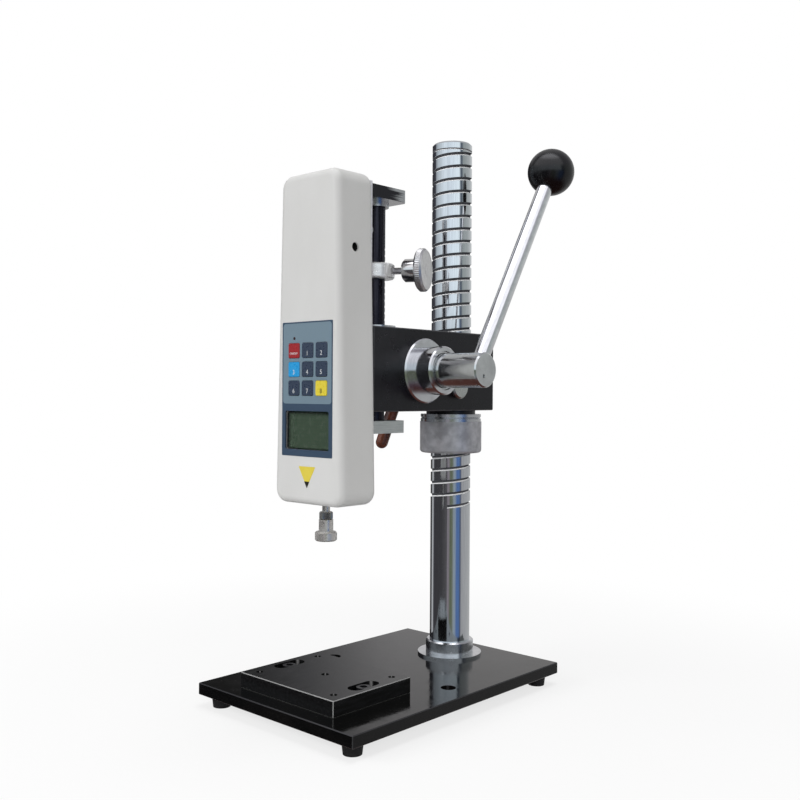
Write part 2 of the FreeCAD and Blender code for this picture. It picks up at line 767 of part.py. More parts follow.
def lever_rod():
    end = LEVER_LENGTH - BALL_DIAMETER / 2 + BALL_BITE
    length = end + LEVER_SEAT_DEPTH
    return rod(lever_foot(), lever_direction(), LEVER_DIAMETER, length)


def ball_knob():
    """A ball with a small flat where the rod enters."""
    radius = BALL_DIAMETER / 2
    centre = lever_centre() + lever_direction() * LEVER_LENGTH
    ball = Part.makeSphere(radius, centre)
    flat = sqrt(radius**2 - (BALL_FLAT_DIAMETER / 2) ** 2)
    below = rod(centre - lever_direction() * 2 * radius, lever_direction(), 2 * radius, 2 * radius - flat)
    bore = rod(centre - lever_direction() * radius, lever_direction(), LEVER_DIAMETER, BALL_BITE)
    return ball.cut([below, bore])


# Ram: the round rack bar, two arms and the plate that carries the gauge
def rack_bar():
    """Tooth spaces are cut across the bar's rear side, one of them level with the pinion's axis."""
    shaft = rod(point(0, bar_y, lower_arm_top), Z, BAR_DIAMETER, ARM_SPAN)
    spigot = rod(point(0, bar_y, lower_arm_bottom), Z, SPIGOT_DIAMETER, upper_arm_top - lower_arm_bottom)
    pitch = pi * GEAR_MODULE
    tip = rack_line + GEAR_MODULE
    root = rack_line - DEDENDUM
    half_bar = BAR_DIAMETER / 2
    flat_low = hub_z - (RACK_SPACES_BELOW + 0.5) * pitch
    flat_high = hub_z + (RACK_SPACES_ABOVE + 0.5) * pitch
    cuts = [cuboid((-half_bar, tip, flat_low), (half_bar, bar_y + half_bar, flat_high))]
    at_line = (pitch / 2 + BACKLASH) / 2
    wide = at_line + (tip - rack_line) * tan(PRESSURE_ANGLE)
    narrow = at_line - (rack_line - root) * tan(PRESSURE_ANGLE)
    for number in range(-RACK_SPACES_BELOW, RACK_SPACES_ABOVE + 1):
        middle = hub_z + number * pitch
        corners = [
            point(-half_bar, tip, middle - wide),
            point(-half_bar, root, middle - narrow),
            point(-half_bar, root, middle + narrow),
            point(-half_bar, tip, middle + wide),
        ]
        cuts.append(Part.Face(Part.makePolygon(corners + corners[:1])).extrude(X * BAR_DIAMETER))
    for top, direction in bar_screw_places():
        inward = direction * -1
        cuts.append(rod(top, inward, BAR_SCREW_HEAD_DIAMETER, BAR_SCREW_HEAD_HEIGHT))
        cuts.append(rod(top, inward, BAR_SCREW_DIAMETER, BAR_SCREW_HEAD_HEIGHT + BAR_SCREW_BITE))
    return joined(shaft, [spigot]).cut(cuts)


def bar_screw_places():
    return [(point(0, bar_y, upper_arm_top), Z), (point(0, bar_y, lower_arm_bottom), Z * -1)]


def bar_screw(top, direction):
    return socket_screw(
        top,
        direction,
        BAR_SCREW_HEAD_DIAMETER,
        BAR_SCREW_HEAD_HEIGHT,
        BAR_SCREW_DIAMETER,
        BAR_SCREW_BITE,
    )


def arm(bottom, screw_top, direction):
    half = ARM_WIDTH / 2
    low = (-half, plate_back, bottom)
    high = (half, arm_rear, bottom + ARM_THICKNESS)
    body = cuboid(low, high)
    rear = [e for e in body.Edges if e.BoundBox.YMin > arm_rear - 0.1 and e.BoundBox.ZLength > 1]
    body = body.makeChamfer(ARM_CHAMFER, rear)
    cuts = [
        rod(point(0, bar_y, bottom), Z, SPIGOT_DIAMETER, ARM_THICKNESS),
        rod(screw_top, direction * -1, BAR_SCREW_HEAD_DIAMETER, BAR_SCREW_HEAD_HEIGHT),
    ]
    middle = bottom + ARM_THICKNESS / 2
    for side in (-1, 1):
        place = point(side * PLATE_SCREW_SPAN / 2, plate_back, middle)
        cuts.append(rod(place, Y, PLATE_SCREW_DIAMETER, PLATE_SCREW_BITE - PLATE_THICKNESS))
    return body.cut(cuts)


def lock_ring():
    bottom = point(0, bar_y, upper_arm_bottom - LOCK_RING_HEIGHT)
    return rod(bottom, Z, LOCK_RING_DIAMETER, LOCK_RING_HEIGHT).cut(
        rod(bottom, Z, BAR_DIAMETER, LOCK_RING_HEIGHT)
    )


def plate_screw_places():
    heights = [lower_arm_bottom + ARM_THICKNESS / 2, upper_arm_bottom + ARM_THICKNESS / 2]
    return [point(i * PLATE_SCREW_SPAN / 2, gauge_back, z) for i in (-1, 1) for z in heights]


def plate_screw(place):
    """A countersunk screw from the plate's front into an arm."""
    head = PLATE_SCREW_HEAD_DIAMETER / 2
    shank = PLATE_SCREW_DIAMETER / 2
    cone = PLATE_SCREW_HEAD_HEIGHT
    length = PLATE_SCREW_BITE
    return turned(place, Y, [(0, 0), (head, 0), (shank, cone), (shank, length), (0, length)])


def gauge_screw_places():
    middle = (lower_arm_bottom + upper_arm_top) / 2
    return [
        point(i * GAUGE_SCREW_SPAN_X / 2, plate_back, middle + j * GAUGE_SCREW_SPAN_Z / 2)
        for i in (-1, 1)
        for j in (-1, 1)
    ]


def gauge_screw(place):
    head = rod(place, Y, PLATE_SCREW_HEAD_DIAMETER, GAUGE_SCREW_HEAD_HEIGHT)
    shank = rod(place, Y * -1, PLATE_SCREW_DIAMETER, PLATE_THICKNESS + GAUGE_SCREW_BITE)
    top = place + Y * GAUGE_SCREW_HEAD_HEIGHT
    across = PLATE_SCREW_HEAD_DIAMETER * HEX_SOCKET_SHARE
    return head.fuse(shank).cut(hex_socket(top, Y, across, GAUGE_SCREW_HEAD_HEIGHT * HEX_SOCKET_DEPTH_SHARE))


def gauge_plate():
    half = PLATE_WIDTH / 2
    plate = cuboid((-half, gauge_back, lower_arm_bottom), (half, plate_back, upper_arm_top))
    screws = [plate_screw(place) for place in plate_screw_places()]
    holes = [rod(place, Y * -1, PLATE_SCREW_DIAMETER, PLATE_THICKNESS) for place in gauge_screw_places()]
    return plate.cut(screws + holes)


# Stop collar on the rack bar, with the thumb screw that locks it
def stop_bottom():
    return head_top + STOP_OVER_HEAD


def thumb_direction():
    return point(cos(THUMB_ANGLE), sin(THUMB_ANGLE), 0)


def thumb_axis():
    return point(0, bar_y, stop_bottom() + STOP_HEIGHT / 2)


def stop_collar():
    outer = STOP_DIAMETER / 2
    inner = BAR_DIAMETER / 2 + RUNNING_CLEARANCE
    edge = STOP_EDGE
    ring = turned(
        point(0, bar_y, stop_bottom()),
        Z,
        [
            (inner, 0),
            (outer - edge, 0),
            (outer, edge),
            (outer, STOP_HEIGHT - edge),
            (outer - edge, STOP_HEIGHT),
            (inner, STOP_HEIGHT),
        ],
    )
    hole = rod(thumb_axis(), thumb_direction(), THUMB_SHANK_DIAMETER + 2 * RUNNING_CLEARANCE, STOP_DIAMETER)
    floor = thumb_axis() + thumb_direction() * (outer - STOP_SPOT_DEPTH)
    spot = rod(floor, thumb_direction(), STOP_SPOT_DIAMETER, STOP_DIAMETER)
    return ring.cut([hole, spot])


def thumb_screw():
    shank = THUMB_SHANK_DIAMETER / 2
    hub = THUMB_HUB_DIAMETER / 2
    disc = THUMB_DISC_DIAMETER / 2
    tip = BAR_DIAMETER / 2 + THUMB_TIP_GAP
    hub_end = THUMB_HUB_START + THUMB_HUB_LENGTH
    end = hub_end + THUMB_DISC_THICKNESS
    edge = THUMB_HUB_EDGE
    rim = THUMB_DISC_EDGE
    return turned(
        thumb_axis(),
        thumb_direction(),
        [
            (0, tip),
            (shank, tip),
            (shank, THUMB_HUB_START),
            (hub - edge, THUMB_HUB_START),
            (hub, THUMB_HUB_START + edge),
            (hub, hub_end),
            (disc - rim, hub_end),
            (disc, hub_end + rim),
            (disc, end - rim),
            (disc - rim, end),
            (0, end),
        ],
    )


# Force gauge: a tapered two-part case, filled from the front with panel, keys and display
def case_solid(inset):
    """The gauge's outer form, or the hollow inside it when inset is the wall."""
    low = gauge_bottom + inset
    high = gauge_top - inset
    bottom_half = GAUGE_WIDTH / 2 - inset
    top_half = GAUGE_TOP_WIDTH / 2 - inset
    front = gauge_front + inset
    corners = [
        point(-bottom_half, front, low),
        point(bottom_half, front, low),
        point(top_half, front, high),
        point(-top_half, front, high),
    ]
    body = Part.Face(Part.makePolygon(corners + corners[:1])).extrude(Y * (GAUGE_DEPTH - 2 * inset))
    posts = [e for e in body.Edges if e.BoundBox.YLength > 1]
    body = body.makeFillet(GAUGE_CORNER - inset, posts)
    if inset:
        return body
    front_rim = [e for e in body.Edges if e.BoundBox.YMax < gauge_front + 0.1]
    body = body.makeFillet(GAUGE_FRONT_EDGE, front_rim)
    back_rim = [e for e in body.Edges if e.BoundBox.YMin > gauge_back - 0.1]
    return body.makeFillet(GAUGE_BACK_EDGE, back_rim)


def key_places():
    rows = [gauge_bottom + KEY_MIDDLE_OVER_BOTTOM + i * KEY_PITCH_Z for i in (1, 0, -1)]
    columns = [KEYS_RIGHT_OF_MIDDLE + i * KEY_PITCH_X for i in (-1, 0, 1)]
    return [point(x, gauge_front, z) for z in rows for x in columns]


def display_place():
    return point(0, gauge_front, gauge_bottom + DISPLAY_OVER_BOTTOM)


def panel_place():
    return point(0, gauge_front, gauge_bottom + PANEL_BOTTOM + PANEL_HEIGHT / 2)


def key_holes():
    width = KEY_WIDTH + 2 * KEY_CLEARANCE
    height = KEY_HEIGHT + 2 * KEY_CLEARANCE
    shift = Y * -KEY_PROUD
    return [round_plate(width, height, PANEL_CUT_DEPTH, KEY_CORNER, p + shift) for p in key_places()]


def display_hole():
    front = display_place() - Y * KEY_PROUD
    return round_plate(DISPLAY_WIDTH, DISPLAY_HEIGHT, PANEL_CUT_DEPTH, KEY_CORNER, front)


def boss_places():
    low = gauge_bottom + BOARD_BOTTOM + BOSS_DIAMETER
    high = low + BOARD_HEIGHT - 2 * BOSS_DIAMETER
    return [point(i * BOSS_SPAN_X / 2, 0, z) for i in (-1, 1) for z in (low, high)]


def board_front():
    return gauge_front + PANEL_THICKNESS - PANEL_PROUD + DISPLAY_MODULE_DEPTH + GAUGE_WALL


def front_half(body, keep_front):
    parting = gauge_front + GAUGE_PARTING
    reach = GAUGE_WIDTH
    front = (-reach, gauge_front - reach, gauge_bottom - reach)
    back = (reach, parting, gauge_top + reach)
    slab = cuboid(front, back)
    return body.common(slab) if keep_front else body.cut(slab)


def jack_place():
    height = gauge_bottom + JACK_OVER_BOTTOM
    lean = (GAUGE_WIDTH - GAUGE_TOP_WIDTH) / 2 * JACK_OVER_BOTTOM / GAUGE_HEIGHT
    return point(GAUGE_WIDTH / 2 - lean, gauge_back - JACK_FROM_BACK, height)


def jack_outline_diameter():
    return JACK_DIAMETER + 2 * JACK_WALL


def front_case():
    shell = front_half(case_solid(0).cut(case_solid(GAUGE_WALL)), True)
    board = board_front()
    bosses = []
    for place in boss_places():
        start = point(place.x, gauge_front + GAUGE_WALL / 2, place.z)
        bosses.append(rod(start, Y, BOSS_DIAMETER, board - start.y))
    shell = joined(shell, bosses)
    pocket = round_plate(
        PANEL_WIDTH, PANEL_HEIGHT, PANEL_THICKNESS - PANEL_PROUD, PANEL_CORNER, panel_place()
    )
    return shell.cut([pocket, display_hole(), stem_port(), jack_port(), jack_seat()] + key_holes())


def back_cover():
    shell = front_half(case_solid(0).cut(case_solid(GAUGE_WALL)), False)
    pads = []
    for place in gauge_screw_places():
        start = point(place.x, gauge_back, place.z)
        pads.append(rod(start - Y * GAUGE_WALL / 2, Y * -1, PLATE_SCREW_HEAD_DIAMETER, GAUGE_SCREW_BITE))
    cell_pad = load_cell_box(load_y + LOAD_CELL_DEPTH / 2, gauge_back - GAUGE_WALL / 2)
    shell = joined(shell, pads + [cell_pad])
    screws = [
        rod(point(p.x, gauge_back, p.z), Y * -1, PLATE_SCREW_DIAMETER, GAUGE_SCREW_BITE)
        for p in gauge_screw_places()
    ]
    return shell.cut(screws + [stem_port()])


def keypad_panel():
    place = panel_place() - Y * PANEL_PROUD
    panel = round_plate(PANEL_WIDTH, PANEL_HEIGHT, PANEL_THICKNESS, PANEL_CORNER, place)
    return panel.cut(key_holes() + [display_hole()])


def key(place):
    body = round_plate(KEY_WIDTH, KEY_HEIGHT, KEY_DEPTH, KEY_CORNER, place - Y * KEY_PROUD)
    front_rim = [e for e in body.Edges if e.BoundBox.YMax < place.y - KEY_PROUD + 0.01]
    return body.makeChamfer(KEY_EDGE, front_rim)


def display_window():
    place = display_place() - Y * PANEL_PROUD
    return round_plate(DISPLAY_WIDTH, DISPLAY_HEIGHT, WINDOW_THICKNESS, KEY_CORNER, place)


def display_module():
    """The module fills its opening behind the window and rests on the board."""
    front = gauge_front - PANEL_PROUD + WINDOW_THICKNESS
    margin = DISPLAY_MODULE_MARGIN
    centre = display_place()
    half_width = DISPLAY_WIDTH / 2 - margin
    half_height = DISPLAY_HEIGHT / 2 - margin
    low = (-half_width, front, centre.z - half_height)
    high = (half_width, board_front(), centre.z + half_height)
    return cuboid(low, high)


def circuit_board():
    half = BOARD_WIDTH / 2
    low = gauge_bottom + BOARD_BOTTOM
    board = cuboid(
        (-half, board_front(), low), (half, board_front() + BOARD_THICKNESS, low + BOARD_HEIGHT)
    )
    places = [point(p.x, board_front(), p.z) for p in boss_places()]
    holes = [rod(place, Y, BOARD_HOLE_DIAMETER, BOARD_THICKNESS) for place in places]
    return board.cut(holes)


def battery_pack():
    half = BATTERY_WIDTH / 2
    top = gauge_top - GAUGE_WALL - BATTERY_TOP_GAP
    back = gauge_back - GAUGE_WALL
    front = board_front() + BOARD_THICKNESS
    pack = cuboid((-half, front, top - BATTERY_HEIGHT), (half, back, top))
    return pack.makeChamfer(BATTERY_EDGE, [e for e in pack.Edges if e.BoundBox.ZLength > BATTERY_HEIGHT / 2])


def load_cell_box(front, back):
    half = LOAD_CELL_WIDTH / 2
    low = gauge_bottom + GAUGE_WALL + NECK_LENGTH
    return cuboid((-half, front, low), (half, back, low + LOAD_CELL_HEIGHT))


def load_cell():
    """A bending block with a waisted window, fixed to the back cover's pad and bored for the shaft."""
    front = load_y - LOAD_CELL_DEPTH / 2
    back = load_y + LOAD_CELL_DEPTH / 2
    block = load_cell_box(front, back)
    middle = gauge_bottom + GAUGE_WALL + NECK_LENGTH + LOAD_CELL_WINDOW_HEIGHT
    reach = LOAD_CELL_WINDOW_REACH
    window = [
        rod(point(i * reach, front, middle), Y, LOAD_CELL_WINDOW, LOAD_CELL_DEPTH) for i in (-1, 1)
    ]
    half_slot = LOAD_CELL_SLOT / 2
    bridge = cuboid((-reach, front, middle - half_slot), (reach, back, middle + half_slot))
    return block.cut(window + [bridge, stem_bore()])


def stem_bore():
    low = gauge_bottom + GAUGE_WALL + NECK_LENGTH
    bore = STEM_DIAMETER + 2 * RUNNING_CLEARANCE
    return rod(point(0, load_y, low), Z, bore, STEM_CELL_BITE + STEM_CELL_GAP)


def stem_port():
    bore = STEM_DIAMETER + 2 * STEM_PORT_CLEARANCE
    return rod(point(0, load_y, gauge_bottom), Z, bore, GAUGE_WALL * 2)


def jack_port():
    """The hole in the case's side that the charger's plug goes through."""
    return rod(jack_place() + X * GAUGE_WALL, X * -1, JACK_PORT_DIAMETER, 2 * GAUGE_WALL)


def jack_face():
    return jack_place() - X * JACK_FACE_DEPTH


def jack_seat():
    return rod(jack_face(), X * -1, jack_outline_diameter(), JACK_DEPTH + GAUGE_WALL)


def charger_jack():
    start = jack_face()
    outer = rod(start, X * -1, jack_outline_diameter(), JACK_DEPTH + JACK_WALL)
    return outer.cut(rod(start, X * -1, JACK_DIAMETER, JACK_DEPTH))


# Measuring shaft, its lock nut and the compression foot
def neck_bottom():
    return gauge_bottom - NECK_LENGTH


def adapter_top():
    return neck_bottom() - LOCK_NUT_HEIGHT


def measuring_shaft():
    low = adapter_top() - STEM_ADAPTER_BITE
    high = gauge_bottom + GAUGE_WALL + NECK_LENGTH + STEM_CELL_BITE
    return rod(point(0, load_y, low), Z, STEM_DIAMETER, high - low)


def lock_nut():
    start = point(0, load_y, adapter_top())
    outer = LOCK_NUT_DIAMETER / 2
    inner = STEM_DIAMETER / 2 + RUNNING_CLEARANCE
    edge = LOCK_NUT_EDGE
    return turned(
        start,
        Z,
        [
            (inner, 0),
            (outer - edge, 0),
            (outer, edge),
            (outer, LOCK_NUT_HEIGHT - edge),
            (outer - edge, LOCK_NUT_HEIGHT),
            (inner, LOCK_NUT_HEIGHT),
        ],
    )


def compression_foot():
    """A stem with two spanner flats over a flat disc."""
    stem = ADAPTER_DIAMETER / 2
    disc = COMPRESSION_FOOT_DIAMETER / 2
    edge = COMPRESSION_FOOT_EDGE
    bottom = adapter_top() - ADAPTER_HEIGHT - COMPRESSION_FOOT_HEIGHT
    body = turned(
        point(0, load_y, bottom),
        Z,
        [
            (0, 0),
            (disc - edge, 0),
            (disc, edge),
            (disc, COMPRESSION_FOOT_HEIGHT - edge),
            (disc - edge, COMPRESSION_FOOT_HEIGHT),
            (stem, COMPRESSION_FOOT_HEIGHT),
            (stem, COMPRESSION_FOOT_HEIGHT + ADAPTER_HEIGHT),
            (0, COMPRESSION_FOOT_HEIGHT + ADAPTER_HEIGHT),
        ],
    )
    flat_low = bottom + COMPRESSION_FOOT_HEIGHT + ADAPTER_FLAT_MARGIN
    flat_high = adapter_top() - ADAPTER_FLAT_MARGIN
    half_flats = stem - ADAPTER_FLAT
    band = cuboid((-stem, load_y - stem, flat_low), (stem, load_y + stem, flat_high))
    kept = cuboid((-stem, load_y - half_flats, flat_low), (stem, load_y + half_flats, flat_high))
    return body.cut([measuring_shaft(), band.cut(kept)])


os.makedirs("parts", exist_ok=True)
save("base_plate", base_plate())
save("rubber_feet", *[rubber_foot(place) for place in foot_places()])
save("foot_screws", *[foot_screw(place) for place in foot_places()])
save("sample_table", sample_table())
save("table_screws", table_screw(-1), table_screw(1))
save("column", column())
save("column_ring", column_ring())
save("column_screw", column_screw())
save("height_nut", height_nut())
save("nut_ring", nut_ring())
save("thrust_washer", thrust_washer())
save("head_block", head_block())
save("guide_bushes", guide_bush(head_bottom, False), guide_bush(head_top - BUSH_LENGTH, True))
half_gap = COTTER_GAP / 2
right_cotter = cotter(half_gap, head_side + COTTER_STICK_OUT - half_gap, X)
left_cotter = cotter(half_gap, head_side - half_gap, X * -1)
save("clamp_cotters", right_cotter, left_cotter)
save("clamp_stud", clamp_stud())
save("clamp_lever", clamp_lever())
save("clamp_handle", clamp_handle())
save("lever_housing", lever_housing())
save("pinion", pinion())
save("lever_hub", lever_hub())
save("lever_rod", lever_rod())
save("ball_knob", ball_knob())
save("rack_bar", rack_bar())
save("lock_ring", lock_ring())
save("upper_arm", arm(upper_arm_bottom, *bar_screw_places()[0]))
save("lower_arm", arm(lower_arm_bottom, *bar_screw_places()[1]))
save("bar_screws", *[bar_screw(*place) for place in bar_screw_places()])
save("gauge_plate", gauge_plate())
save("plate_screws", *[plate_screw(place) for place in plate_screw_places()])
save("gauge_screws", *[gauge_screw(place) for place in gauge_screw_places()])
save("front_case", front_case())
save("back_cover", back_cover())
save("keypad_panel", keypad_panel())
for number, place in enumerate(key_places(), start=1):
    save(f"key_{number}", key(place))
save("display_window", display_window())
save("display_module", display_module())
save("circuit_board", circuit_board())
save("battery_pack", battery_pack())
save("load_cell", load_cell())
save("charger_jack", charger_jack())
save("stop_collar", stop_collar())
save("thumb_screw", thumb_screw())
save("measuring_shaft", measuring_shaft())
save("lock_nut", lock_nut())
save("compression_foot", compression_foot())
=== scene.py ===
import bpy
from math import atan2, cos, pi, radians, sin, sqrt, tau
from mathutils import Matrix, Vector


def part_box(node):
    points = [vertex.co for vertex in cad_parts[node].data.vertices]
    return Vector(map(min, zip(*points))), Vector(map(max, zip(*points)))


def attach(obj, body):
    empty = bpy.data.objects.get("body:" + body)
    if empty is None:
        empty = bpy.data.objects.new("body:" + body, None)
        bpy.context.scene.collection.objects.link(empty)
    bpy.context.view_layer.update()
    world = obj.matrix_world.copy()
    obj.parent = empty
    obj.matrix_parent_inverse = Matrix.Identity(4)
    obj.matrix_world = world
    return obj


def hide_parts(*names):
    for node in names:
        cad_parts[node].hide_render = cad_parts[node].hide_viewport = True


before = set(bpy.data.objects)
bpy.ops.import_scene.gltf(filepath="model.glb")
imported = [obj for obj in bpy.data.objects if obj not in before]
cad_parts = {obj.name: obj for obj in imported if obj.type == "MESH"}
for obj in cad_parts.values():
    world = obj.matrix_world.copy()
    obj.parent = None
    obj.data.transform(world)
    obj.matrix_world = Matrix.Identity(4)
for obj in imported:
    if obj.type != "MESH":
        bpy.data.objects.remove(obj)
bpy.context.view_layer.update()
bpy.ops.object.select_all(action="DESELECT")

# Camera. It stands to the right of the stand and in front of it, a little above the middle of the column,
# and looks along the level. The shift is the small one of the photograph's own framing.
bpy.ops.object.camera_add(location=(0, 0, 0))
camera = bpy.context.object
camera.name = "camera"
stood_at = Matrix.Translation((0.49756, -0.52991, 0.22675))
turned_to = Matrix.Rotation(radians(42.824), 4, "Z")
raised = Matrix.Rotation(radians(90.0285), 4, "X")
rolled = Matrix.Rotation(radians(0.3506), 4, "Z")
camera.matrix_world = stood_at @ turned_to @ raised @ rolled
camera.data.sensor_width = 36.0
camera.data.lens = 43.455
camera.data.shift_x = 0.0084
camera.data.shift_y = -0.0090
camera.data.clip_start = 0.01
bpy.context.scene.camera = camera
bpy.context.scene.view_settings.view_transform = "Standard"


# Studio. Plain soft daylight from all round, and a white room for the camera and for clear plastic.
# Bright metal sees the same room with its pale screens and the darker gaps between them.
def wired(tree, kind, inputs, **settings):
    """A new node. Each input gets a number, a colour or the socket that feeds it."""
    node = tree.nodes.new(kind)
    for name, value in settings.items():
        setattr(node, name, value)
    for name, value in inputs.items():
        if isinstance(value, bpy.types.NodeSocket):
            tree.links.new(value, node.inputs[name])
        else:
            node.inputs[name].default_value = value
    return node


room = bpy.data.worlds.new("studio_room")
bpy.context.scene.world = room
room.use_nodes = True
tree = room.node_tree
white = (1.0, 1.0, 1.0, 1.0)
daylight = tree.nodes["Background"]
daylight.inputs["Color"].default_value = white
daylight.inputs["Strength"].default_value = 0.30
rays = wired(tree, "ShaderNodeLightPath", {}).outputs
eyes = {0: rays["Is Camera Ray"], 1: rays["Is Transmission Ray"]}
looked_through = wired(tree, "ShaderNodeMath", eyes, operation="MAXIMUM").outputs["Value"]
way = wired(tree, "ShaderNodeTexCoord", {}).outputs["Generated"]
way = wired(tree, "ShaderNodeSeparateXYZ", {"Vector": way}).outputs
compass = wired(tree, "ShaderNodeMath", {0: way["Y"], 1: way["X"]}, operation="ARCTAN2").outputs["Value"]
full_turn = {"Value": compass, "From Min": -pi, "From Max": pi}
share = wired(tree, "ShaderNodeMapRange", full_turn).outputs["Result"]


def sides_of_room(stops):
    """What bright metal sees round it, as (angle from +X in degrees, colour) pairs."""
    sides = wired(tree, "ShaderNodeValToRGB", {"Fac": share})
    for number, (angle, colour) in enumerate(stops):
        place = angle / 360 + 0.5
        stop = sides.color_ramp.elements[0] if number == 0 else sides.color_ramp.elements.new(place)
        stop.position = place
        stop.color = (*colour, 1.0)
    sides.color_ramp.elements[-1].color = (*stops[0][1], 1.0)
    return sides.outputs["Color"]


def by_height(low, high, start, end):
    """Goes over from the colour low to the colour high where the way up rises from start to end."""
    rise = {"Value": way["Z"], "From Min": start, "From Max": end}
    rise = wired(tree, "ShaderNodeMapRange", rise).outputs["Result"]
    low, high = [(*colour, 1.0) if isinstance(colour, tuple) else colour for colour in (low, high)]
    return wired(tree, "ShaderNodeMixRGB", {"Fac": rise, "Color1": low, "Color2": high}).outputs["Color"]


screens = sides_of_room([
    (-180, (0.04, 0.04, 0.05)), (-162, (0.05, 0.05, 0.06)), (-155, (0.33, 0.36, 0.39)),
    (-140, (0.50, 0.55, 0.59)), (-121, (0.59, 0.65, 0.69)), (-100, (0.75, 0.82, 0.88)),
    (-86, (0.79, 0.87, 0.93)), (-75, (0.68, 0.75, 0.81)), (-60, (0.77, 0.85, 0.92)),
    (-8, (0.86, 0.95, 1.00)), (-1, (0.11, 0.13, 0.16)), (8, (0.10, 0.12, 0.15)),
    (16, (0.31, 0.34, 0.34)), (60, (0.42, 0.44, 0.44)), (92, (0.60, 0.61, 0.61)),
    (126, (0.70, 0.69, 0.69)), (133, (0.64, 0.63, 0.64)), (138, (0.20, 0.20, 0.21)),
    (142, (0.045, 0.045, 0.045)),
])
bench = sides_of_room([
    (-180, (0.38, 0.38, 0.39)), (-168, (0.50, 0.50, 0.51)), (-160, (0.07, 0.07, 0.08)),
    (-152, (0.045, 0.043, 0.047)), (-100, (0.050, 0.048, 0.052)), (-80, (0.075, 0.072, 0.076)),
    (-70, (0.09, 0.085, 0.09)), (-64, (0.26, 0.23, 0.26)), (-56, (0.20, 0.18, 0.19)),
    (-50, (0.12, 0.14, 0.09)), (-38, (0.14, 0.16, 0.12)), (-31, (0.27, 0.31, 0.34)),
    (-20, (0.24, 0.30, 0.38)), (-13, (0.09, 0.16, 0.36)), (2, (0.09, 0.17, 0.36)),
    (8, (0.07, 0.10, 0.20)), (13, (0.12, 0.13, 0.16)), (18, (0.34, 0.34, 0.35)),
    (78, (0.42, 0.42, 0.42)), (120, (0.50, 0.50, 0.50)), (150, (0.20, 0.20, 0.20)),
    (160, (0.02, 0.02, 0.02)), (176, (0.04, 0.04, 0.04)),
])
window = sides_of_room([
    (-180, (0.46, 0.46, 0.47)), (-170, (0.20, 0.20, 0.21)), (-164, (0.08, 0.08, 0.09)),
    (-159, (0.08, 0.08, 0.09)), (-152, (1.00, 1.00, 1.04)), (4, (1.00, 1.00, 1.05)),
    (16, (0.38, 0.38, 0.42)), (50, (0.34, 0.34, 0.37)), (140, (0.50, 0.50, 0.50)),
])
skylight = sides_of_room([
    (-180, (0.50, 0.50, 0.51)), (-165, (0.10, 0.10, 0.11)), (-159, (0.10, 0.10, 0.11)),
    (-150, (2.50, 2.52, 2.65)), (2, (2.50, 2.52, 2.65)), (24, (0.40, 0.40, 0.43)),
    (140, (0.55, 0.55, 0.56)),
])
room_round = by_height(bench, screens, -0.03, 0.09)
room_round = by_height(room_round, window, 0.34, 0.50)
room_round = by_height(room_round, skylight, 0.80, 0.92)
room_round = by_height((0.085, 0.036, 0.030), room_round, -0.74, -0.46)
mirrored_room = wired(tree, "ShaderNodeBackground", {"Color": room_round}).outputs["Background"]
white_room = wired(tree, "ShaderNodeBackground", {"Color": white}).outputs["Background"]
for_metal = {"Fac": rays["Is Glossy Ray"], 1: daylight.outputs["Background"], 2: mirrored_room}
for_metal = wired(tree, "ShaderNodeMixShader", for_metal).outputs["Shader"]
for_eyes = wired(tree, "ShaderNodeMixShader", {"Fac": looked_through, 1: for_metal, 2: white_room})
tree.links.new(for_eyes.outputs["Shader"], tree.nodes["World Output"].inputs["Surface"])

for name, place, size, watts in (
    ("key_lamp", (-0.95, -1.75, 1.15), 1.8, 25.0),
    ("fill_lamp", (1.35, -1.35, 0.90), 1.1, 13.0),
    ("top_lamp", (0.15, 0.10, 1.75), 1.0, 12.0),
):
    bpy.ops.object.light_add(type="AREA", location=place)
    lamp = bpy.context.object
    lamp.name = name
    lamp.data.shape = "RECTANGLE"
    lamp.data.size = size
    lamp.data.size_y = size / 2
    lamp.data.energy = watts
    aim = Vector((0.0, 0.0, 0.22)) - Vector(place)
    lamp.rotation_euler = aim.to_track_quat("-Z", "Y").to_euler()
    lamp.visible_glossy = False

bpy.ops.mesh.primitive_circle_add(vertices=96, radius=0.62, fill_type="NGON", location=(0, 0, 0))
floor = bpy.context.object
floor.name = "studio_floor"
floor_white = bpy.data.materials.new("floor_white")
floor_white.use_nodes = True
tree = floor_white.node_tree
tree.nodes.remove(tree.nodes["Principled BSDF"])
matt = wired(tree, "ShaderNodeBsdfDiffuse", {"Color": (0.86, 0.86, 0.86, 1.0)}).outputs["BSDF"]
glow = wired(tree, "ShaderNodeEmission", {}).outputs["Emission"]
clear = wired(tree, "ShaderNodeBsdfTransparent", {}).outputs["BSDF"]
rays = wired(tree, "ShaderNodeLightPath", {}).outputs
eyes = {0: rays["Is Camera Ray"], 1: rays["Is Transmission Ray"]}
seen = wired(tree, "ShaderNodeMath", eyes, operation="MAXIMUM").outputs["Value"]
spot = wired(tree, "ShaderNodeTexCoord", {}).outputs["Object"]
reach = wired(tree, "ShaderNodeVectorMath", {0: spot}, operation="LENGTH").outputs["Value"]
fade = {"Value": reach, "From Min": 0.16, "From Max": 0.55, "To Min": 0.74}
fade = wired(tree, "ShaderNodeMapRange", fade, interpolation_type="SMOOTHSTEP").outputs["Result"]
part_white = wired(tree, "ShaderNodeMath", {0: seen, 1: fade}, operation="MULTIPLY").outputs["Value"]
pale = wired(tree, "ShaderNodeMixShader", {"Fac": part_white, 1: matt, 2: glow}).outputs["Shader"]
low_room = wired(tree, "ShaderNodeMixShader", {"Fac": rays["Is Glossy Ray"], 1: pale, 2: clear})
tree.links.new(low_room.outputs["Shader"], tree.nodes["Material Output"].inputs["Surface"])
floor.data.materials.append(floor_white)


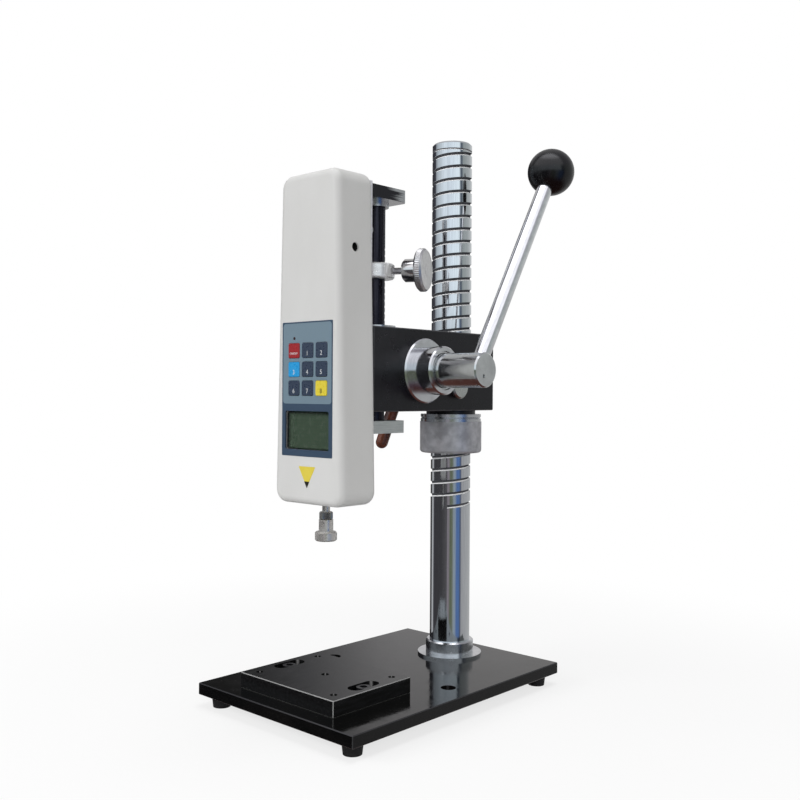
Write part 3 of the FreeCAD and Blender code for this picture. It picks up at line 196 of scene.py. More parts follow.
# Base plate. A sheet of 8.5 mm steel with broken edges, stoved in black gloss enamel.
# The enamel is a little wavy, dusty in places and thin on the edges.
def finish(name, colour, rough, metal=0.0):
    """A new material with its plain values on the shader itself."""
    made = bpy.data.materials.new(name)
    made.use_nodes = True
    all_over(made, "Base Color", (*colour, 1.0))
    all_over(made, "Roughness", rough)
    all_over(made, "Metallic", metal)
    return made


def add(made, kind, inputs, **settings):
    """A new node of this material."""
    return wired(made.node_tree, kind, inputs, **settings)


def reckoned(made, operation, one, other):
    """One number worked out from two. Each is a plain value or a socket."""
    return add(made, "ShaderNodeMath", {0: one, 1: other}, operation=operation).outputs[0]


def vector(made, operation, *values):
    """A vector, or a length, worked out from these values. Each is plain or a socket."""
    node = add(made, "ShaderNodeVectorMath", dict(enumerate(values)), operation=operation)
    return node.outputs["Value" if operation in ("DOT_PRODUCT", "LENGTH") else "Vector"]


def where(made, kind="Object"):
    """The place on the piece in metres, or with Normal the way its surface looks."""
    return add(made, "ShaderNodeTexCoord", {}).outputs[kind]


def part_of(made, value, axis):
    return add(made, "ShaderNodeSeparateXYZ", {"Vector": value}).outputs[axis]


def feed(made, name, socket):
    made.node_tree.links.new(socket, made.node_tree.nodes["Principled BSDF"].inputs[name])


def fed_by(made, name):
    """The socket that feeds this input of the shader so far."""
    return made.node_tree.nodes["Principled BSDF"].inputs[name].links[0].from_socket


def all_over(made, name, value):
    """A value that is the same all over the piece."""
    made.node_tree.nodes["Principled BSDF"].inputs[name].default_value = value


def spots(made, size, stretch=(1.0, 1.0, 1.0), detail=3.0):
    """Cloudy spots of about this size in metres, drawn out where stretch is small."""
    place = add(made, "ShaderNodeMapping", {"Vector": where(made), "Scale": stretch}).outputs["Vector"]
    noise = add(made, "ShaderNodeTexNoise", {"Vector": place, "Scale": 1 / size, "Detail": detail})
    return noise.outputs["Fac"]


def spread(made, value, low, high, start=0.35, end=0.65):
    """Goes from low to high while the value goes from start to end."""
    inputs = {"Value": value, "From Min": start, "From Max": end, "To Min": low, "To Max": high}
    return add(made, "ShaderNodeMapRange", inputs).outputs["Result"]


def two_tone(made, share, one, other):
    """Goes from one colour to the other as share goes from 0 to 1. Each is a colour or a socket."""
    one, other = [(*colour, 1.0) if isinstance(colour, tuple) else colour for colour in (one, other)]
    return add(made, "ShaderNodeMixRGB", {"Fac": share, "Color1": one, "Color2": other}).outputs["Color"]


def tinted(made, share, one, other):
    """The shader's colour goes from one to the other."""
    feed(made, "Base Color", two_tone(made, share, one, other))


def roughened(made, size, low, high):
    """Roughness from low to high, in cloudy spots of this size in metres."""
    feed(made, "Roughness", spread(made, spots(made, size), low, high))


def relief(made, value, depth):
    """The surface rises and falls by depth in metres."""
    bump = add(made, "ShaderNodeBump", {"Height": value, "Distance": depth})
    feed(made, "Normal", bump.outputs["Normal"])


def rubbed_edges(made, share, paint, bare):
    """The bare metal shows through this share of the paint on broken edges and roundings,
    where the surface looks along no axis of the piece."""
    looks = vector(made, "ABSOLUTE", where(made, "Normal"))
    widest = reckoned(made, "MAXIMUM", part_of(made, looks, "X"), part_of(made, looks, "Y"))
    widest = reckoned(made, "MAXIMUM", widest, part_of(made, looks, "Z"))
    rubbed = reckoned(made, "MULTIPLY", spread(made, widest, 1.0, 0.0, 0.68, 0.88), share)
    tinted(made, rubbed, paint, bare)


def dress(node, made):
    """A CAD node gets this finish."""
    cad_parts[node].material_slots[0].material = made


black_gloss = finish("black_gloss_enamel", (0.008, 0.008, 0.009), 0.1)
dust = spread(black_gloss, spots(black_gloss, 0.03), 0.0, 1.0, 0.45, 0.72)
enamel = two_tone(black_gloss, dust, (0.002, 0.002, 0.002), (0.0045, 0.004, 0.004))
rubbed_edges(black_gloss, 0.35, enamel, (0.10, 0.10, 0.11))
roughened(black_gloss, 0.012, 0.06, 0.15)
relief(black_gloss, spots(black_gloss, 0.004, detail=1.0), 0.00003)
all_over(black_gloss, "Specular IOR Level", 0.30)
dress("base_plate", black_gloss)

# Feet. Four tapered feet of black rubber, each held by a cheese head screw in its own recess.
# The rubber is matt, finely pitted, and greyer where it has picked up dust.
foot_rubber = finish("foot_rubber", (0.02, 0.02, 0.02), 0.7)
tinted(foot_rubber, spots(foot_rubber, 0.004), (0.006, 0.006, 0.006), (0.018, 0.017, 0.017))
roughened(foot_rubber, 0.002, 0.6, 0.85)
relief(foot_rubber, spots(foot_rubber, 0.0006), 0.00006)
dress("rubber_feet", foot_rubber)
screw_steel = finish("screw_steel", (0.50, 0.50, 0.51), 0.3, 1.0)
tinted(screw_steel, spots(screw_steel, 0.002), (0.42, 0.42, 0.43), (0.58, 0.58, 0.59))
roughened(screw_steel, 0.001, 0.22, 0.42)
for node in ("foot_screws", "column_screw", "bar_screws", "plate_screws", "gauge_screws", "clamp_stud"):
    dress(node, screw_steel)

# Sample table. A ground steel plate in satin black, with tapped holes and two slots for its screws.
# Its top is finely scuffed along its length, and the broken edges shine through as on a used table.
table_black = finish("table_satin_black", (0.012, 0.012, 0.013), 0.2)
scuffs = spread(table_black, spots(table_black, 0.002, (1.0, 0.12, 1.0)), 0.0, 1.0, 0.4, 0.7)
blacking = two_tone(table_black, scuffs, (0.004, 0.004, 0.004), (0.010, 0.010, 0.011))
rubbed_edges(table_black, 0.75, blacking, (0.42, 0.42, 0.42))
feed(table_black, "Roughness", spread(table_black, scuffs, 0.14, 0.24, 0.0, 1.0))
relief(table_black, spots(table_black, 0.0012, (1.0, 0.2, 1.0)), 0.000012)
all_over(table_black, "Specular IOR Level", 0.30)
dress("sample_table", table_black)
black_oxide = finish("black_oxide", (0.03, 0.03, 0.034), 0.32, 0.8)
tinted(black_oxide, spots(black_oxide, 0.003), (0.018, 0.018, 0.021), (0.05, 0.05, 0.055))
roughened(black_oxide, 0.0015, 0.25, 0.45)
for node in ("table_screws", "thrust_washer"):
    dress(node, black_oxide)


# Column. A hard chromed bar of 32 mm, ground, with one helical groove of 10 mm pitch for the height nut.
# The groove is rounded and rough. Its upward-facing flank is painted near white as a painted highlight, and
# its downward-facing flank dark as painted shade. It runs from a third of the height to just under the
# chamfered top.
def polished(name, colour, rough, line=0.00035, along=(0.02, 0.02, 1.0), depth=0.000004):
    """Bright plating with faint polishing lines, drawn out along the axes where along is small."""
    made = finish(name, colour, rough, 1.0)
    lines = spots(made, line, along, 2.0)
    bright = tuple(min(1.0, part * 1.05) for part in colour)
    dull = tuple(part * 0.9 for part in colour)
    tinted(made, spread(made, lines, 0.0, 1.0), dull, bright)
    roughened(made, 0.006, rough * 0.7, rough * 1.4)
    relief(made, lines, depth)
    return made


def apply_all(piece, name):
    """The piece is finished: its place goes into its mesh, and faces look outwards."""
    piece.name = name
    piece.data.name = name
    bpy.ops.object.select_all(action="DESELECT")
    piece.select_set(True)
    bpy.context.view_layer.objects.active = piece
    bpy.ops.object.transform_apply(location=True, rotation=True, scale=True)
    bpy.ops.object.mode_set(mode="EDIT")
    bpy.ops.mesh.select_all(action="SELECT")
    bpy.ops.mesh.remove_doubles(threshold=0.000001)
    bpy.ops.mesh.normals_make_consistent(inside=False)
    bpy.ops.object.mode_set(mode="OBJECT")


def coat(piece, made):
    """A new piece gets this one finish."""
    piece.data.materials.clear()
    piece.data.materials.append(made)


def turned(outline, sides, location=(0.0, 0.0, 0.0), rotation=(0.0, 0.0, 0.0), bored=False):
    """Turns a solid from (radius, height) pairs, as on a lathe, by extruding and sizing one ring.
    A bored one closes on its first pair, as a ring does."""
    radius, low = outline[0]
    bpy.ops.object.select_all(action="DESELECT")
    fill = "NOTHING" if bored else "NGON"
    bpy.ops.mesh.primitive_circle_add(vertices=sides, radius=radius, fill_type=fill, location=(0, 0, low))
    piece = bpy.context.object
    bpy.ops.object.transform_apply(location=True)
    bpy.ops.object.mode_set(mode="EDIT")
    bpy.ops.mesh.select_all(action="SELECT")
    for wide, high in outline[1:]:
        bpy.ops.mesh.extrude_region_move(TRANSFORM_OT_translate={"value": (0, 0, high - low)})
        bpy.ops.transform.resize(value=(wide / radius, wide / radius, 1.0))
        radius, low = wide, high
    if bored:
        bpy.ops.mesh.select_all(action="DESELECT")
        bpy.ops.mesh.select_non_manifold()
        bpy.ops.mesh.bridge_edge_loops()
    bpy.ops.object.mode_set(mode="OBJECT")
    piece.location = location
    piece.rotation_euler = rotation
    return piece


foot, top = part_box("column")
column_axis = Vector(((foot.x + top.x) / 2, (foot.y + top.y) / 2, 0.0))
radius = (top.x - foot.x) / 2
groove_rim = top.z - 0.0065
notch = 0.0007
foot_chamfer = 0.0004
top_chamfer = 0.0015
column = turned(
    [
        (radius - foot_chamfer, foot.z), (radius, foot.z + foot_chamfer), (radius, groove_rim - notch),
        (radius - notch, groove_rim), (radius, groove_rim + notch), (radius, top.z - top_chamfer),
        (radius - top_chamfer, top.z),
    ],
    128,
    column_axis,
)
groove_low = 0.1368
groove_pitch = 0.010
groove_start = radians(-60)
cutter_radius = 0.0014
cutter_proud = 0.0001
groove_turns = (groove_rim - groove_low) / groove_pitch
bpy.ops.object.select_all(action="DESELECT")
bpy.ops.mesh.primitive_circle_add(vertices=10, radius=cutter_radius, rotation=(pi / 2, 0, 0))
cutter = bpy.context.object
bpy.ops.object.transform_apply(rotation=True)
bpy.ops.object.mode_set(mode="EDIT")
bpy.ops.mesh.select_all(action="SELECT")
bpy.ops.transform.translate(value=(radius + cutter_proud, 0, 0))
bpy.ops.object.mode_set(mode="OBJECT")
cutter.location = column_axis + Vector((0, 0, groove_low))
cutter.rotation_euler = (0, 0, groove_start)
helix = cutter.modifiers.new("helix", "SCREW")
helix.axis = "Z"
helix.angle = tau * groove_turns
helix.screw_offset = groove_pitch * groove_turns
helix.steps = round(64 * groove_turns)
helix.render_steps = helix.steps
helix.use_merge_vertices = False
bpy.ops.object.modifier_apply(modifier="helix")
bpy.ops.object.mode_set(mode="EDIT")
bpy.ops.mesh.select_all(action="SELECT")
bpy.ops.mesh.fill_holes(sides=0)
bpy.ops.mesh.normals_make_consistent(inside=False)
bpy.ops.object.mode_set(mode="OBJECT")
bpy.ops.object.select_all(action="DESELECT")
column.select_set(True)
bpy.context.view_layer.objects.active = column
cut = column.modifiers.new("groove", "BOOLEAN")
cut.operation = "DIFFERENCE"
cut.solver = "EXACT"
cut.object = cutter
bpy.ops.object.modifier_apply(modifier="groove")
bpy.data.objects.remove(cutter)
apply_all(column, "grooved_column")
bpy.ops.object.shade_smooth_by_angle(angle=radians(28))
hard_chrome = polished("hard_chrome", (0.80, 0.83, 0.86), 0.09, 0.0004, (1.0, 1.0, 0.02))
level = (1.0, 1.0, 0.0)
from_axis = vector(hard_chrome, "SUBTRACT", where(hard_chrome), tuple(column_axis))
out = vector(hard_chrome, "LENGTH", vector(hard_chrome, "MULTIPLY", from_axis, level))
sunk = spread(hard_chrome, out, 1.0, 0.0, radius - 0.00022, radius - 0.00008)
height = part_of(hard_chrome, where(hard_chrome), "Z")
below_top = spread(hard_chrome, height, 1.0, 0.0, top.z - 0.0022, top.z - 0.0018)
sunk = reckoned(hard_chrome, "MULTIPLY", sunk, below_top)
# Painted light in the groove: where the surface faces up it is painted near white and not metallic, as a
# painted highlight; where it faces down it is painted dark, as painted shade.
tilt = part_of(hard_chrome, where(hard_chrome, "Normal"), "Z")
upwards = spread(hard_chrome, tilt, 0.0, 1.0, 0.05, 0.25)
groove_painted_highlight_and_shade = two_tone(hard_chrome, upwards, (0.06, 0.062, 0.07), (0.96, 0.97, 0.98))
tinted(hard_chrome, sunk, fed_by(hard_chrome, "Base Color"), groove_painted_highlight_and_shade)
feed(hard_chrome, "Roughness", reckoned(hard_chrome, "ADD", fed_by(hard_chrome, "Roughness"), sunk))
feed(hard_chrome, "Metallic", spread(hard_chrome, sunk, 1.0, 0.0, 0.0, 1.0))
coat(column, hard_chrome)
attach(column, "stand")
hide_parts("column")

# Column ring. A polished collar with a thin flange, which centres the column's foot on the base plate.
# The narrow ring on top of the height nut has the same plating, a little duller than the column's.
ring_chrome = polished("ring_chrome", (0.66, 0.67, 0.69), 0.2)
for node in ("column_ring", "nut_ring"):
    dress(node, ring_chrome)

# Height nut. A turned ring of grey cast metal that runs in the groove and carries the head.
# Its skin is satin and faintly blotched, with the lines of the lathe round it.
nut_grey = finish("nut_satin_grey", (0.40, 0.40, 0.42), 0.4, 0.5)
blotches = spots(nut_grey, 0.007, detail=5.0)
tinted(nut_grey, spread(nut_grey, blotches, 0.0, 1.0), (0.33, 0.33, 0.355), (0.51, 0.51, 0.54))
roughened(nut_grey, 0.002, 0.34, 0.5)
relief(nut_grey, spots(nut_grey, 0.0011, (0.5, 0.5, 1.0), 4.0), 0.00005)
dress("height_nut", nut_grey)

# Head block. A milled block in satin black enamel, bored for the column, the rack bar and the pinion.
# The enamel has a fine orange skin, and its long edges are rubbed.
head_black = finish("head_satin_black", (0.008, 0.008, 0.010), 0.32)
clouds = two_tone(head_black, spots(head_black, 0.02), (0.005, 0.005, 0.007), (0.009, 0.009, 0.012))
rubbed_edges(head_black, 0.3, clouds, (0.15, 0.15, 0.16))
roughened(head_black, 0.008, 0.26, 0.38)
relief(head_black, spots(head_black, 0.0009, detail=1.0), 0.00002)
all_over(head_black, "Specular IOR Level", 0.35)
dress("head_block", head_black)
dress("guide_bushes", polished("bush_steel", (0.72, 0.72, 0.73), 0.16))

# Column clamp. Two steel cotters that the stud draws together, and a black lever with a brown grip.
# The grip is moulded in a hard, glossy, slightly marbled resin.
cotter_steel = polished("cotter_steel", (0.60, 0.62, 0.60), 0.3, 0.0006, (1.0, 1.0, 1.0), 0.000008)
dress("clamp_cotters", cotter_steel)
clamp_black = finish("clamp_black", (0.012, 0.012, 0.012), 0.35)
tinted(clamp_black, spots(clamp_black, 0.004), (0.009, 0.009, 0.009), (0.024, 0.023, 0.023))
roughened(clamp_black, 0.002, 0.28, 0.45)
relief(clamp_black, spots(clamp_black, 0.0012), 0.00004)
dress("clamp_lever", clamp_black)
grip_brown = finish("grip_brown", (0.11, 0.028, 0.014), 0.25)
marble = spots(grip_brown, 0.006, (1.0, 1.0, 0.35), 5.0)
tinted(grip_brown, spread(grip_brown, marble, 0.0, 1.0), (0.030, 0.010, 0.008), (0.17, 0.050, 0.026))
roughened(grip_brown, 0.004, 0.2, 0.32)
dress("clamp_handle", grip_brown)

# Lever housing and hub. Bright turned steel: a flange, a drum with a recess, and the hub that runs in it.
# The drum's sides are mirror bright, its end is finely faced, and a retaining ring sits in its recess.
drum_chrome = polished("drum_chrome", (0.76, 0.77, 0.79), 0.15, 0.0004, (1.0, 0.04, 0.04), 0.000001)
dress("lever_housing", drum_chrome)
low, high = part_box("lever_housing")
housing_end = Vector((high.x, (low.y + high.y) / 2, (low.z + high.z) / 2))
outside, inside = 0.0141, 0.0128
ring_rear, ring_front = -0.0055, -0.0014
ring_edge = 0.0002
retaining_ring = turned(
    [
        (outside, ring_rear), (outside, ring_front - ring_edge), (outside - ring_edge, ring_front),
        (inside + ring_edge, ring_front), (inside, ring_front - ring_edge), (inside, ring_rear),
    ],
    96,
    housing_end,
    (0.0, pi / 2, 0.0),
    bored=True,
)
apply_all(retaining_ring, "retaining_ring")
bpy.ops.object.shade_smooth_by_angle(angle=radians(30))
coat(retaining_ring, polished("retaining_steel", (0.80, 0.81, 0.82), 0.24))
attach(retaining_ring, "head")
dress("lever_hub", polished("hub_chrome", (0.72, 0.74, 0.74), 0.14, 0.0004, (1.0, 0.04, 0.04)))
dress("lever_rod", polished("lever_chrome", (0.92, 0.93, 0.95), 0.06, 0.0004, (1.0, 0.05, 0.1), 0.000001))
dress("pinion", polished("gear_steel", (0.50, 0.51, 0.52), 0.28, 0.0005))

# Ball knob. A ball of black resin on the lever's end, polished, with a flat where the rod goes in.
ball_black = finish("ball_black", (0.006, 0.006, 0.006), 0.07)
tinted(ball_black, spots(ball_black, 0.01), (0.0015, 0.0015, 0.002), (0.003, 0.003, 0.004))
roughened(ball_black, 0.005, 0.20, 0.27)
relief(ball_black, spots(ball_black, 0.004, detail=1.0), 0.00001)
all_over(ball_black, "Specular IOR Level", 0.55)
dress("ball_knob", ball_black)

# Rack bar, arms and gauge plate. A blackened round bar with teeth on its rear, between two steel arms.
# The upper arm is ground bright, with a painted dark reflection on the front of its right side, and the
# lower one is milled grey.
# The plate that carries the gauge is bright steel, screwed to both arms.
bar_black = finish("bar_black_oxide", (0.03, 0.03, 0.036), 0.22, 0.9)
drawn = spots(bar_black, 0.0012, (1.0, 1.0, 0.03))
tinted(bar_black, spread(bar_black, drawn, 0.0, 1.0), (0.014, 0.013, 0.019), (0.040, 0.038, 0.050))
roughened(bar_black, 0.004, 0.18, 0.3)
relief(bar_black, drawn, 0.000008)
dress("rack_bar", bar_black)
dress("lock_ring", polished("lock_ring_steel", (0.60, 0.60, 0.61), 0.3))
arm_bright = polished("arm_bright_steel", (0.62, 0.62, 0.64), 0.16, 0.0005, (1.0, 0.03, 1.0), 0.000006)
# Painted reflection: the bright arm's right-facing side is painted dark towards its front, with a streaky
# edge, standing in for a dark reflection.
streaky = spread(arm_bright, spots(arm_bright, 0.0016, (1.0, 0.06, 1.0), 4.0), -0.007, 0.007)
from_front = reckoned(arm_bright, "ADD", part_of(arm_bright, where(arm_bright), "Y"), streaky)
in_front = spread(arm_bright, from_front, 1.0, 0.0, -0.016, -0.006)
side = vector(arm_bright, "DOT_PRODUCT", where(arm_bright, "Normal"), (1.0, 0.0, 0.0))
painted_dark_reflection_mask = reckoned(arm_bright, "MULTIPLY", in_front, side)
tinted(arm_bright, painted_dark_reflection_mask, fed_by(arm_bright, "Base Color"), (0.05, 0.048, 0.055))
dress("upper_arm", arm_bright)
arm_grey = finish("arm_milled_grey", (0.42, 0.45, 0.44), 0.42, 0.85)
milled = spots(arm_grey, 0.0008, (1.0, 0.05, 1.0))
tinted(arm_grey, spread(arm_grey, milled, 0.0, 1.0), (0.54, 0.57, 0.56), (0.66, 0.69, 0.68))
roughened(arm_grey, 0.003, 0.36, 0.5)
relief(arm_grey, milled, 0.00001)
dress("lower_arm", arm_grey)
plate_steel = polished("plate_steel", (0.84, 0.83, 0.88), 0.3, 0.0006, (1.0, 1.0, 0.03), 0.000006)
all_over(plate_steel, "Metallic", 0.4)
dress("gauge_plate", plate_steel)


# Stop collar and thumb screw. The collar is bright steel, and the screw is one piece of satin aluminium.
# Its hub is turned bright, its disc is knurled straight, and the disc's face shows the rings of the lathe.
def knurled(piece, sides, nearest, farthest, depth):
    """Presses every second corner in, where the piece's radius lies between nearest and farthest."""
    bpy.ops.object.mode_set(mode="EDIT")
    bpy.ops.mesh.select_mode(type="VERT")
    bpy.ops.mesh.select_all(action="DESELECT")
    bpy.ops.object.mode_set(mode="OBJECT")
    for corner in piece.data.vertices:
        out = sqrt(corner.co.x**2 + corner.co.y**2)
        step = round(atan2(corner.co.y, corner.co.x) / (tau / sides))
        corner.select = step % 2 == 1 and nearest < out < farthest
    bpy.ops.object.mode_set(mode="EDIT")
    inward = 1 - depth / farthest
    bpy.ops.transform.resize(value=(inward, inward, 1.0), center_override=(0, 0, 0))
    bpy.ops.object.mode_set(mode="OBJECT")


stop_chrome = polished("stop_chrome", (0.94, 0.94, 0.94), 0.25)
all_over(stop_chrome, "Metallic", 0.5)
dress("stop_collar", stop_chrome)
low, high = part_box("stop_collar")
knob_middle = (0.0, -0.0145, (low.z + high.z) / 2)
knob_angle = radians(24)
knob_corners = 144
shank, hub, disc = 0.0025, 0.0085, 0.01575
disc_rear, disc_front = 0.0345, 0.0407
disc_edge = 0.0014
recess = disc_front - 0.0002
thumb_screw = turned(
    [
        (shank - 0.0005, 0.0083), (shank, 0.0088), (shank, 0.0230), (hub - 0.0016, 0.0230), (hub, 0.0246),
        (hub, disc_rear - 0.0004), (hub - 0.0005, disc_rear), (disc - disc_edge, disc_rear),
        (disc, disc_rear + disc_edge), (disc, disc_front - disc_edge), (disc - disc_edge, disc_front),
        (0.0135, disc_front), (0.0130, recess), (0.0040, recess), (0.0036, disc_front),
    ],
    knob_corners,
)
knurled(thumb_screw, knob_corners, 0.0155, 0.0158, 0.00026)
thumb_screw.location = knob_middle
thumb_screw.rotation_euler = (0.0, pi / 2, knob_angle)
apply_all(thumb_screw, "knurled_thumb_screw")
bpy.ops.object.shade_smooth_by_angle(angle=radians(20))
thumb_grey = finish("thumb_satin_grey", (0.42, 0.41, 0.44), 0.34, 1.0)
centre = vector(thumb_grey, "SUBTRACT", where(thumb_grey), knob_middle)
across = vector(thumb_grey, "DOT_PRODUCT", centre, (-sin(knob_angle), cos(knob_angle), 0.0))
up = part_of(thumb_grey, centre, "Z")
on_face = add(thumb_grey, "ShaderNodeCombineXYZ", {"X": across, "Y": up}).outputs[0]
out = vector(thumb_grey, "LENGTH", on_face)
lathe = {"W": out, "Scale": 3500.0, "Detail": 2.0}
rings = add(thumb_grey, "ShaderNodeTexNoise", lathe, noise_dimensions="1D").outputs["Fac"]
tinted(thumb_grey, spread(thumb_grey, rings, 0.0, 1.0), (0.66, 0.66, 0.66), (0.82, 0.81, 0.81))
away = vector(thumb_grey, "DOT_PRODUCT", centre, (cos(knob_angle), sin(knob_angle), 0.0))
on_disc = spread(thumb_grey, away, 0.0, 1.0, disc_rear - 0.0005, disc_rear + 0.0001)
satin = spread(thumb_grey, spots(thumb_grey, 0.003), 0.20, 0.34)
satin = reckoned(thumb_grey, "MULTIPLY", on_disc, satin)
feed(thumb_grey, "Roughness", reckoned(thumb_grey, "ADD", satin, 0.10))
relief(thumb_grey, rings, 0.000012)
coat(thumb_screw, thumb_grey)
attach(thumb_screw, "thumb")
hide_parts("thumb_screw")

# Gauge case. Two halves of warm white moulded plastic that taper to the top, with a fine matt grain.
# The skin is a little yellowed and carries faint handling marks.
case_white = finish("case_white", (0.62, 0.62, 0.61), 0.42)
marks = spots(case_white, 0.05, (1.0, 1.0, 0.4), 4.0)
tinted(case_white, spread(case_white, marks, 0.0, 1.0), (0.60, 0.598, 0.588), (0.64, 0.64, 0.632))
roughened(case_white, 0.01, 0.36, 0.5)
relief(case_white, spots(case_white, 0.0005, detail=2.0), 0.00002)
for node in ("front_case", "back_cover"):
    dress(node, case_white)
jack_black = finish("jack_black", (0.012, 0.012, 0.012), 0.5)
tinted(jack_black, spots(jack_black, 0.001), (0.008, 0.008, 0.008), (0.018, 0.018, 0.018))
dress("charger_jack", jack_black)


# Keypad panel. A printed foil, steel blue round the keys and dark blue round the display.
# The foil has a fine satin grain, and the two blues meet along a rounded edge.
def printed_area(made, middle, half_width, half_height, corner, soft=0.00008):
    """1 inside a rounded rectangle on the gauge's front, which is printed about middle, an (x, z) pair."""
    place = vector(made, "SUBTRACT", where(made), (middle[0], 0.0, middle[1]))
    place = vector(made, "ABSOLUTE", place)
    place = vector(made, "SUBTRACT", place, (half_width - corner, 1.0, half_height - corner))
    place = vector(made, "MAXIMUM", place, (0.0, 0.0, 0.0))
    off = vector(made, "LENGTH", place)
    return spread(made, off, 1.0, 0.0, corner - soft, corner + soft)


foil_blue = finish("foil_blue", (0.17, 0.23, 0.31), 0.35)
grain = spots(foil_blue, 0.0007)
pale = two_tone(foil_blue, grain, (0.140, 0.205, 0.255), (0.170, 0.238, 0.290))
dark = two_tone(foil_blue, grain, (0.032, 0.057, 0.098), (0.042, 0.071, 0.116))
low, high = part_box("keypad_panel")
border = 0.0010
keys_low, keys_high = high.z - 0.0570, high.z - border
keys_middle = (0.0, (keys_low + keys_high) / 2)
keys_field = printed_area(foil_blue, keys_middle, high.x - border, (keys_high - keys_low) / 2, 0.0022)
tinted(foil_blue, keys_field, dark, pale)
roughened(foil_blue, 0.003, 0.3, 0.42)
relief(foil_blue, grain, 0.000012)
dress("keypad_panel", foil_blue)

# Keys. Nine low domed caps, coloured in the mass: one red, one sky blue, one yellow and six slate.
# Each carries a plain white number or ON OFF, and the yellow one's number is dark.
caps = {
    "red": ((0.25, 0.010, 0.014), (0.35, 0.020, 0.024)),
    "sky": ((0.010, 0.24, 0.56), (0.022, 0.34, 0.68)),
    "yellow": ((0.62, 0.50, 0.030), (0.74, 0.62, 0.060)),
    "slate": ((0.022, 0.034, 0.062), (0.034, 0.050, 0.084)),
}
cap_finishes = {}
for name, (deep, light) in caps.items():
    cap = finish("key_" + name, light, 0.3)
    tinted(cap, spots(cap, 0.002), deep, light)
    roughened(cap, 0.001, 0.25, 0.4)
    relief(cap, spots(cap, 0.0005), 0.00001)
    cap_finishes[name] = cap
mark_white = finish("mark_white", (0.62, 0.64, 0.66), 0.45)
tinted(mark_white, spots(mark_white, 0.0006), (0.52, 0.54, 0.56), (0.70, 0.72, 0.74))
mark_dark = finish("mark_dark", (0.02, 0.018, 0.01), 0.45)
tinted(mark_dark, spots(mark_dark, 0.0006), (0.010, 0.009, 0.006), (0.022, 0.019, 0.012))
large_print, small_print = 0.0046, 0.0023
below_middle = 0.0021
ink = 0.00003
marks = ["ON/OFF", "1", "2", "3", "4", "5", "6", "7", "8"]
tones = ["red", "slate", "slate", "sky", "slate", "slate", "slate", "slate", "yellow"]
for number, (words, tone) in enumerate(zip(marks, tones), start=1):
    node = f"key_{number}"
    dress(node, cap_finishes[tone])
    low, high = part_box(node)
    bpy.ops.object.select_all(action="DESELECT")
    bpy.ops.object.text_add(location=(0, 0, 0))
    mark = bpy.context.object
    mark.data.body = words
    mark.data.size = small_print if len(words) > 1 else large_print
    mark.data.align_x = "CENTER"
    mark.data.align_y = "CENTER"
    mark.data.resolution_u = 4
    mark.data.extrude = ink
    mark.location = ((low.x + high.x) / 2, low.y - 0.00001, (low.z + high.z) / 2 - below_middle)
    mark.rotation_euler = (pi / 2, 0, 0)
    bpy.ops.object.convert(target="MESH")
    apply_all(bpy.context.object, f"mark_{number}")
    mark = bpy.context.object
    coat(mark, mark_dark if tone == "yellow" else mark_white)
    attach(mark, node)

# Display. A liquid crystal glass in grey green with a black printed border, behind a clear window. The
# border is drawn wider and softer at the left and top, as a painted shadow of the frame.
# It is switched off, so only the faint rows of its cells show.
glass_green = finish("display_glass", (0.12, 0.17, 0.12), 0.25)
glass_low, glass_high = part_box("display_window")
middle = (glass_low + glass_high) / 2
size = (glass_high - glass_low) / 2
border_and_painted_shadow = 0.0015
cells = {"Vector": where(glass_green), "Scale": 130.0}
rows = add(glass_green, "ShaderNodeTexWave", cells, bands_direction="Z").outputs["Fac"]
green = two_tone(glass_green, rows, (0.125, 0.195, 0.130), (0.140, 0.208, 0.142))
# Painted shadow: the green field is shifted right and down, so the black border at the left and top is
# wider and soft, as the frame's painted shadow.
field_middle = (middle.x + 0.0022, middle.z - 0.0016)
field = printed_area(glass_green, field_middle, size.x - border_and_painted_shadow, size.z - 0.0005, 0.0016, border_and_painted_shadow)
tinted(glass_green, field, (0.006, 0.007, 0.009), green)
roughened(glass_green, 0.004, 0.2, 0.3)
dress("display_module", glass_green)
window_clear = finish("window_clear", (0.02, 0.024, 0.02), 0.04)
all_over(window_clear, "Alpha", 0.12)
roughened(window_clear, 0.006, 0.02, 0.06)
dress("display_window", window_clear)

# Lamp on the keypad. A small dark lens in a drilled hole, pressed in from behind, unlit.
low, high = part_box("keypad_panel")
lens_place = (-0.0131, low.y, 0.2647)
lamp_lens = turned(
    [(0.0011, -0.0006), (0.0011, 0.0001), (0.0009, 0.0003), (0.0005, 0.00042)],
    32,
    lens_place,
    (pi / 2, 0.0, 0.0),
)
apply_all(lamp_lens, "keypad_lamp")
bpy.ops.object.shade_smooth_by_angle(angle=radians(50))
lens_dark = finish("lens_dark", (0.02, 0.012, 0.015), 0.12)
tinted(lens_dark, spots(lens_dark, 0.0005), (0.012, 0.008, 0.010), (0.05, 0.02, 0.025))
coat(lamp_lens, lens_dark)
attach(lamp_lens, "ram")

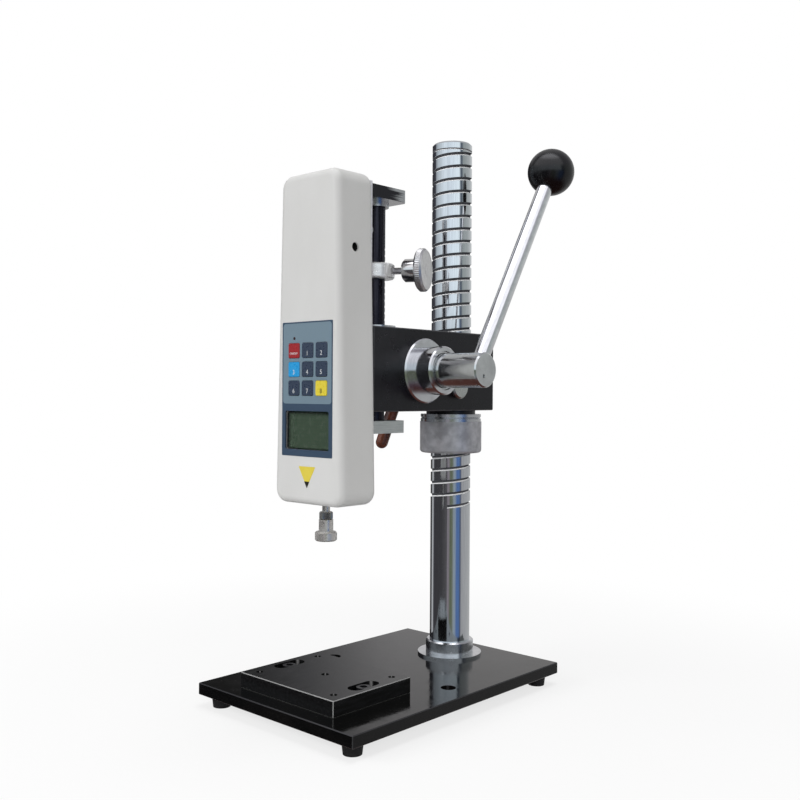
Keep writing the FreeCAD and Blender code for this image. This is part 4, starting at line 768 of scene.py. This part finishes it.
# Load pointer. A plain yellow film with rounded corners, stuck on the case and pointing at the shaft.
# A small dark point at its tip marks the load axis.
low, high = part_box("front_case")
film_middle = 0.0005
sunk_in = 0.0001
for name, wide, tall, top_height, proud, made_of in (
    ("load_pointer", 0.0172, 0.0145, 0.1757, 0.00012, "yellow"),
    ("load_point", 0.0050, 0.0046, 0.1654, 0.00018, "dark"),
):
    bpy.ops.object.select_all(action="DESELECT")
    bpy.ops.mesh.primitive_circle_add(vertices=3, radius=1.0, fill_type="NGON", location=(0, 0, 0))
    film = bpy.context.object
    bpy.ops.object.mode_set(mode="EDIT")
    bpy.ops.mesh.select_all(action="SELECT")
    bpy.ops.transform.resize(value=(wide / sqrt(3), tall / 1.5, 1.0), center_override=(0, 0, 0))
    bpy.ops.mesh.bevel(offset=wide * 0.06, segments=4, affect="VERTICES")
    bpy.ops.mesh.select_all(action="SELECT")
    bpy.ops.mesh.extrude_region_move(TRANSFORM_OT_translate={"value": (0, 0, proud + sunk_in)})
    bpy.ops.object.mode_set(mode="OBJECT")
    film.location = (film_middle, low.y + sunk_in, top_height - tall / 3)
    film.rotation_euler = (pi / 2, pi, 0.0)
    apply_all(film, name)
    if made_of == "yellow":
        film_finish = finish("film_yellow", (0.80, 0.62, 0.05), 0.35)
        tinted(film_finish, spots(film_finish, 0.004), (0.66, 0.54, 0.05), (0.74, 0.61, 0.09))
    else:
        film_finish = mark_dark
    coat(film, film_finish)
    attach(film, "ram")

# Inside the gauge. A green circuit board with copper tracks, a shrink wrapped battery pack,
# and the aluminium block that bends under the load.
board_green = finish("board_green", (0.015, 0.10, 0.04), 0.35)
copper = {"Vector": where(board_green), "Scale": 160.0, "Mortar Size": 0.06}
tracks = add(board_green, "ShaderNodeTexBrick", copper).outputs["Fac"]
tinted(board_green, tracks, (0.012, 0.085, 0.035), (0.04, 0.17, 0.06))
dress("circuit_board", board_green)
battery_blue = finish("battery_blue", (0.03, 0.08, 0.26), 0.28)
tinted(battery_blue, spots(battery_blue, 0.006), (0.025, 0.065, 0.22), (0.04, 0.10, 0.31))
relief(battery_blue, spots(battery_blue, 0.003), 0.0001)
dress("battery_pack", battery_blue)
dress("load_cell", polished("cell_aluminium", (0.78, 0.79, 0.80), 0.24, 0.0006, (1.0, 0.05, 1.0), 0.000008))

# Measuring shaft, lock nut and compression foot. Turned stainless steel, with a darker nut
# whose rim is knurled, and a foot with two spanner flats.
probe_steel = polished("probe_steel", (0.74, 0.72, 0.69), 0.28, 0.0005, (0.05, 0.05, 1.0), 0.000006)
all_over(probe_steel, "Metallic", 0.75)
for node in ("measuring_shaft", "compression_foot"):
    dress(node, probe_steel)
low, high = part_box("lock_nut")
nut_middle = (low + high) / 2
nut_radius = (high.x - low.x) / 2
nut_edge = 0.0006
nut_corners = 96
lock_nut = turned(
    [
        (nut_radius - nut_edge, low.z), (nut_radius, low.z + nut_edge),
        (nut_radius, high.z - nut_edge), (nut_radius - nut_edge, high.z),
    ],
    nut_corners,
)
knurled(lock_nut, nut_corners, nut_radius - 0.0002, nut_radius + 0.0002, 0.00028)
lock_nut.location = (nut_middle.x, nut_middle.y, 0.0)
apply_all(lock_nut, "knurled_lock_nut")
bpy.ops.object.shade_smooth_by_angle(angle=radians(20))
coat(lock_nut, polished("nut_dark_steel", (0.42, 0.41, 0.39), 0.3, 0.0005, (0.05, 0.05, 1.0), 0.000006))
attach(lock_nut, "probe_nut")
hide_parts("lock_nut")
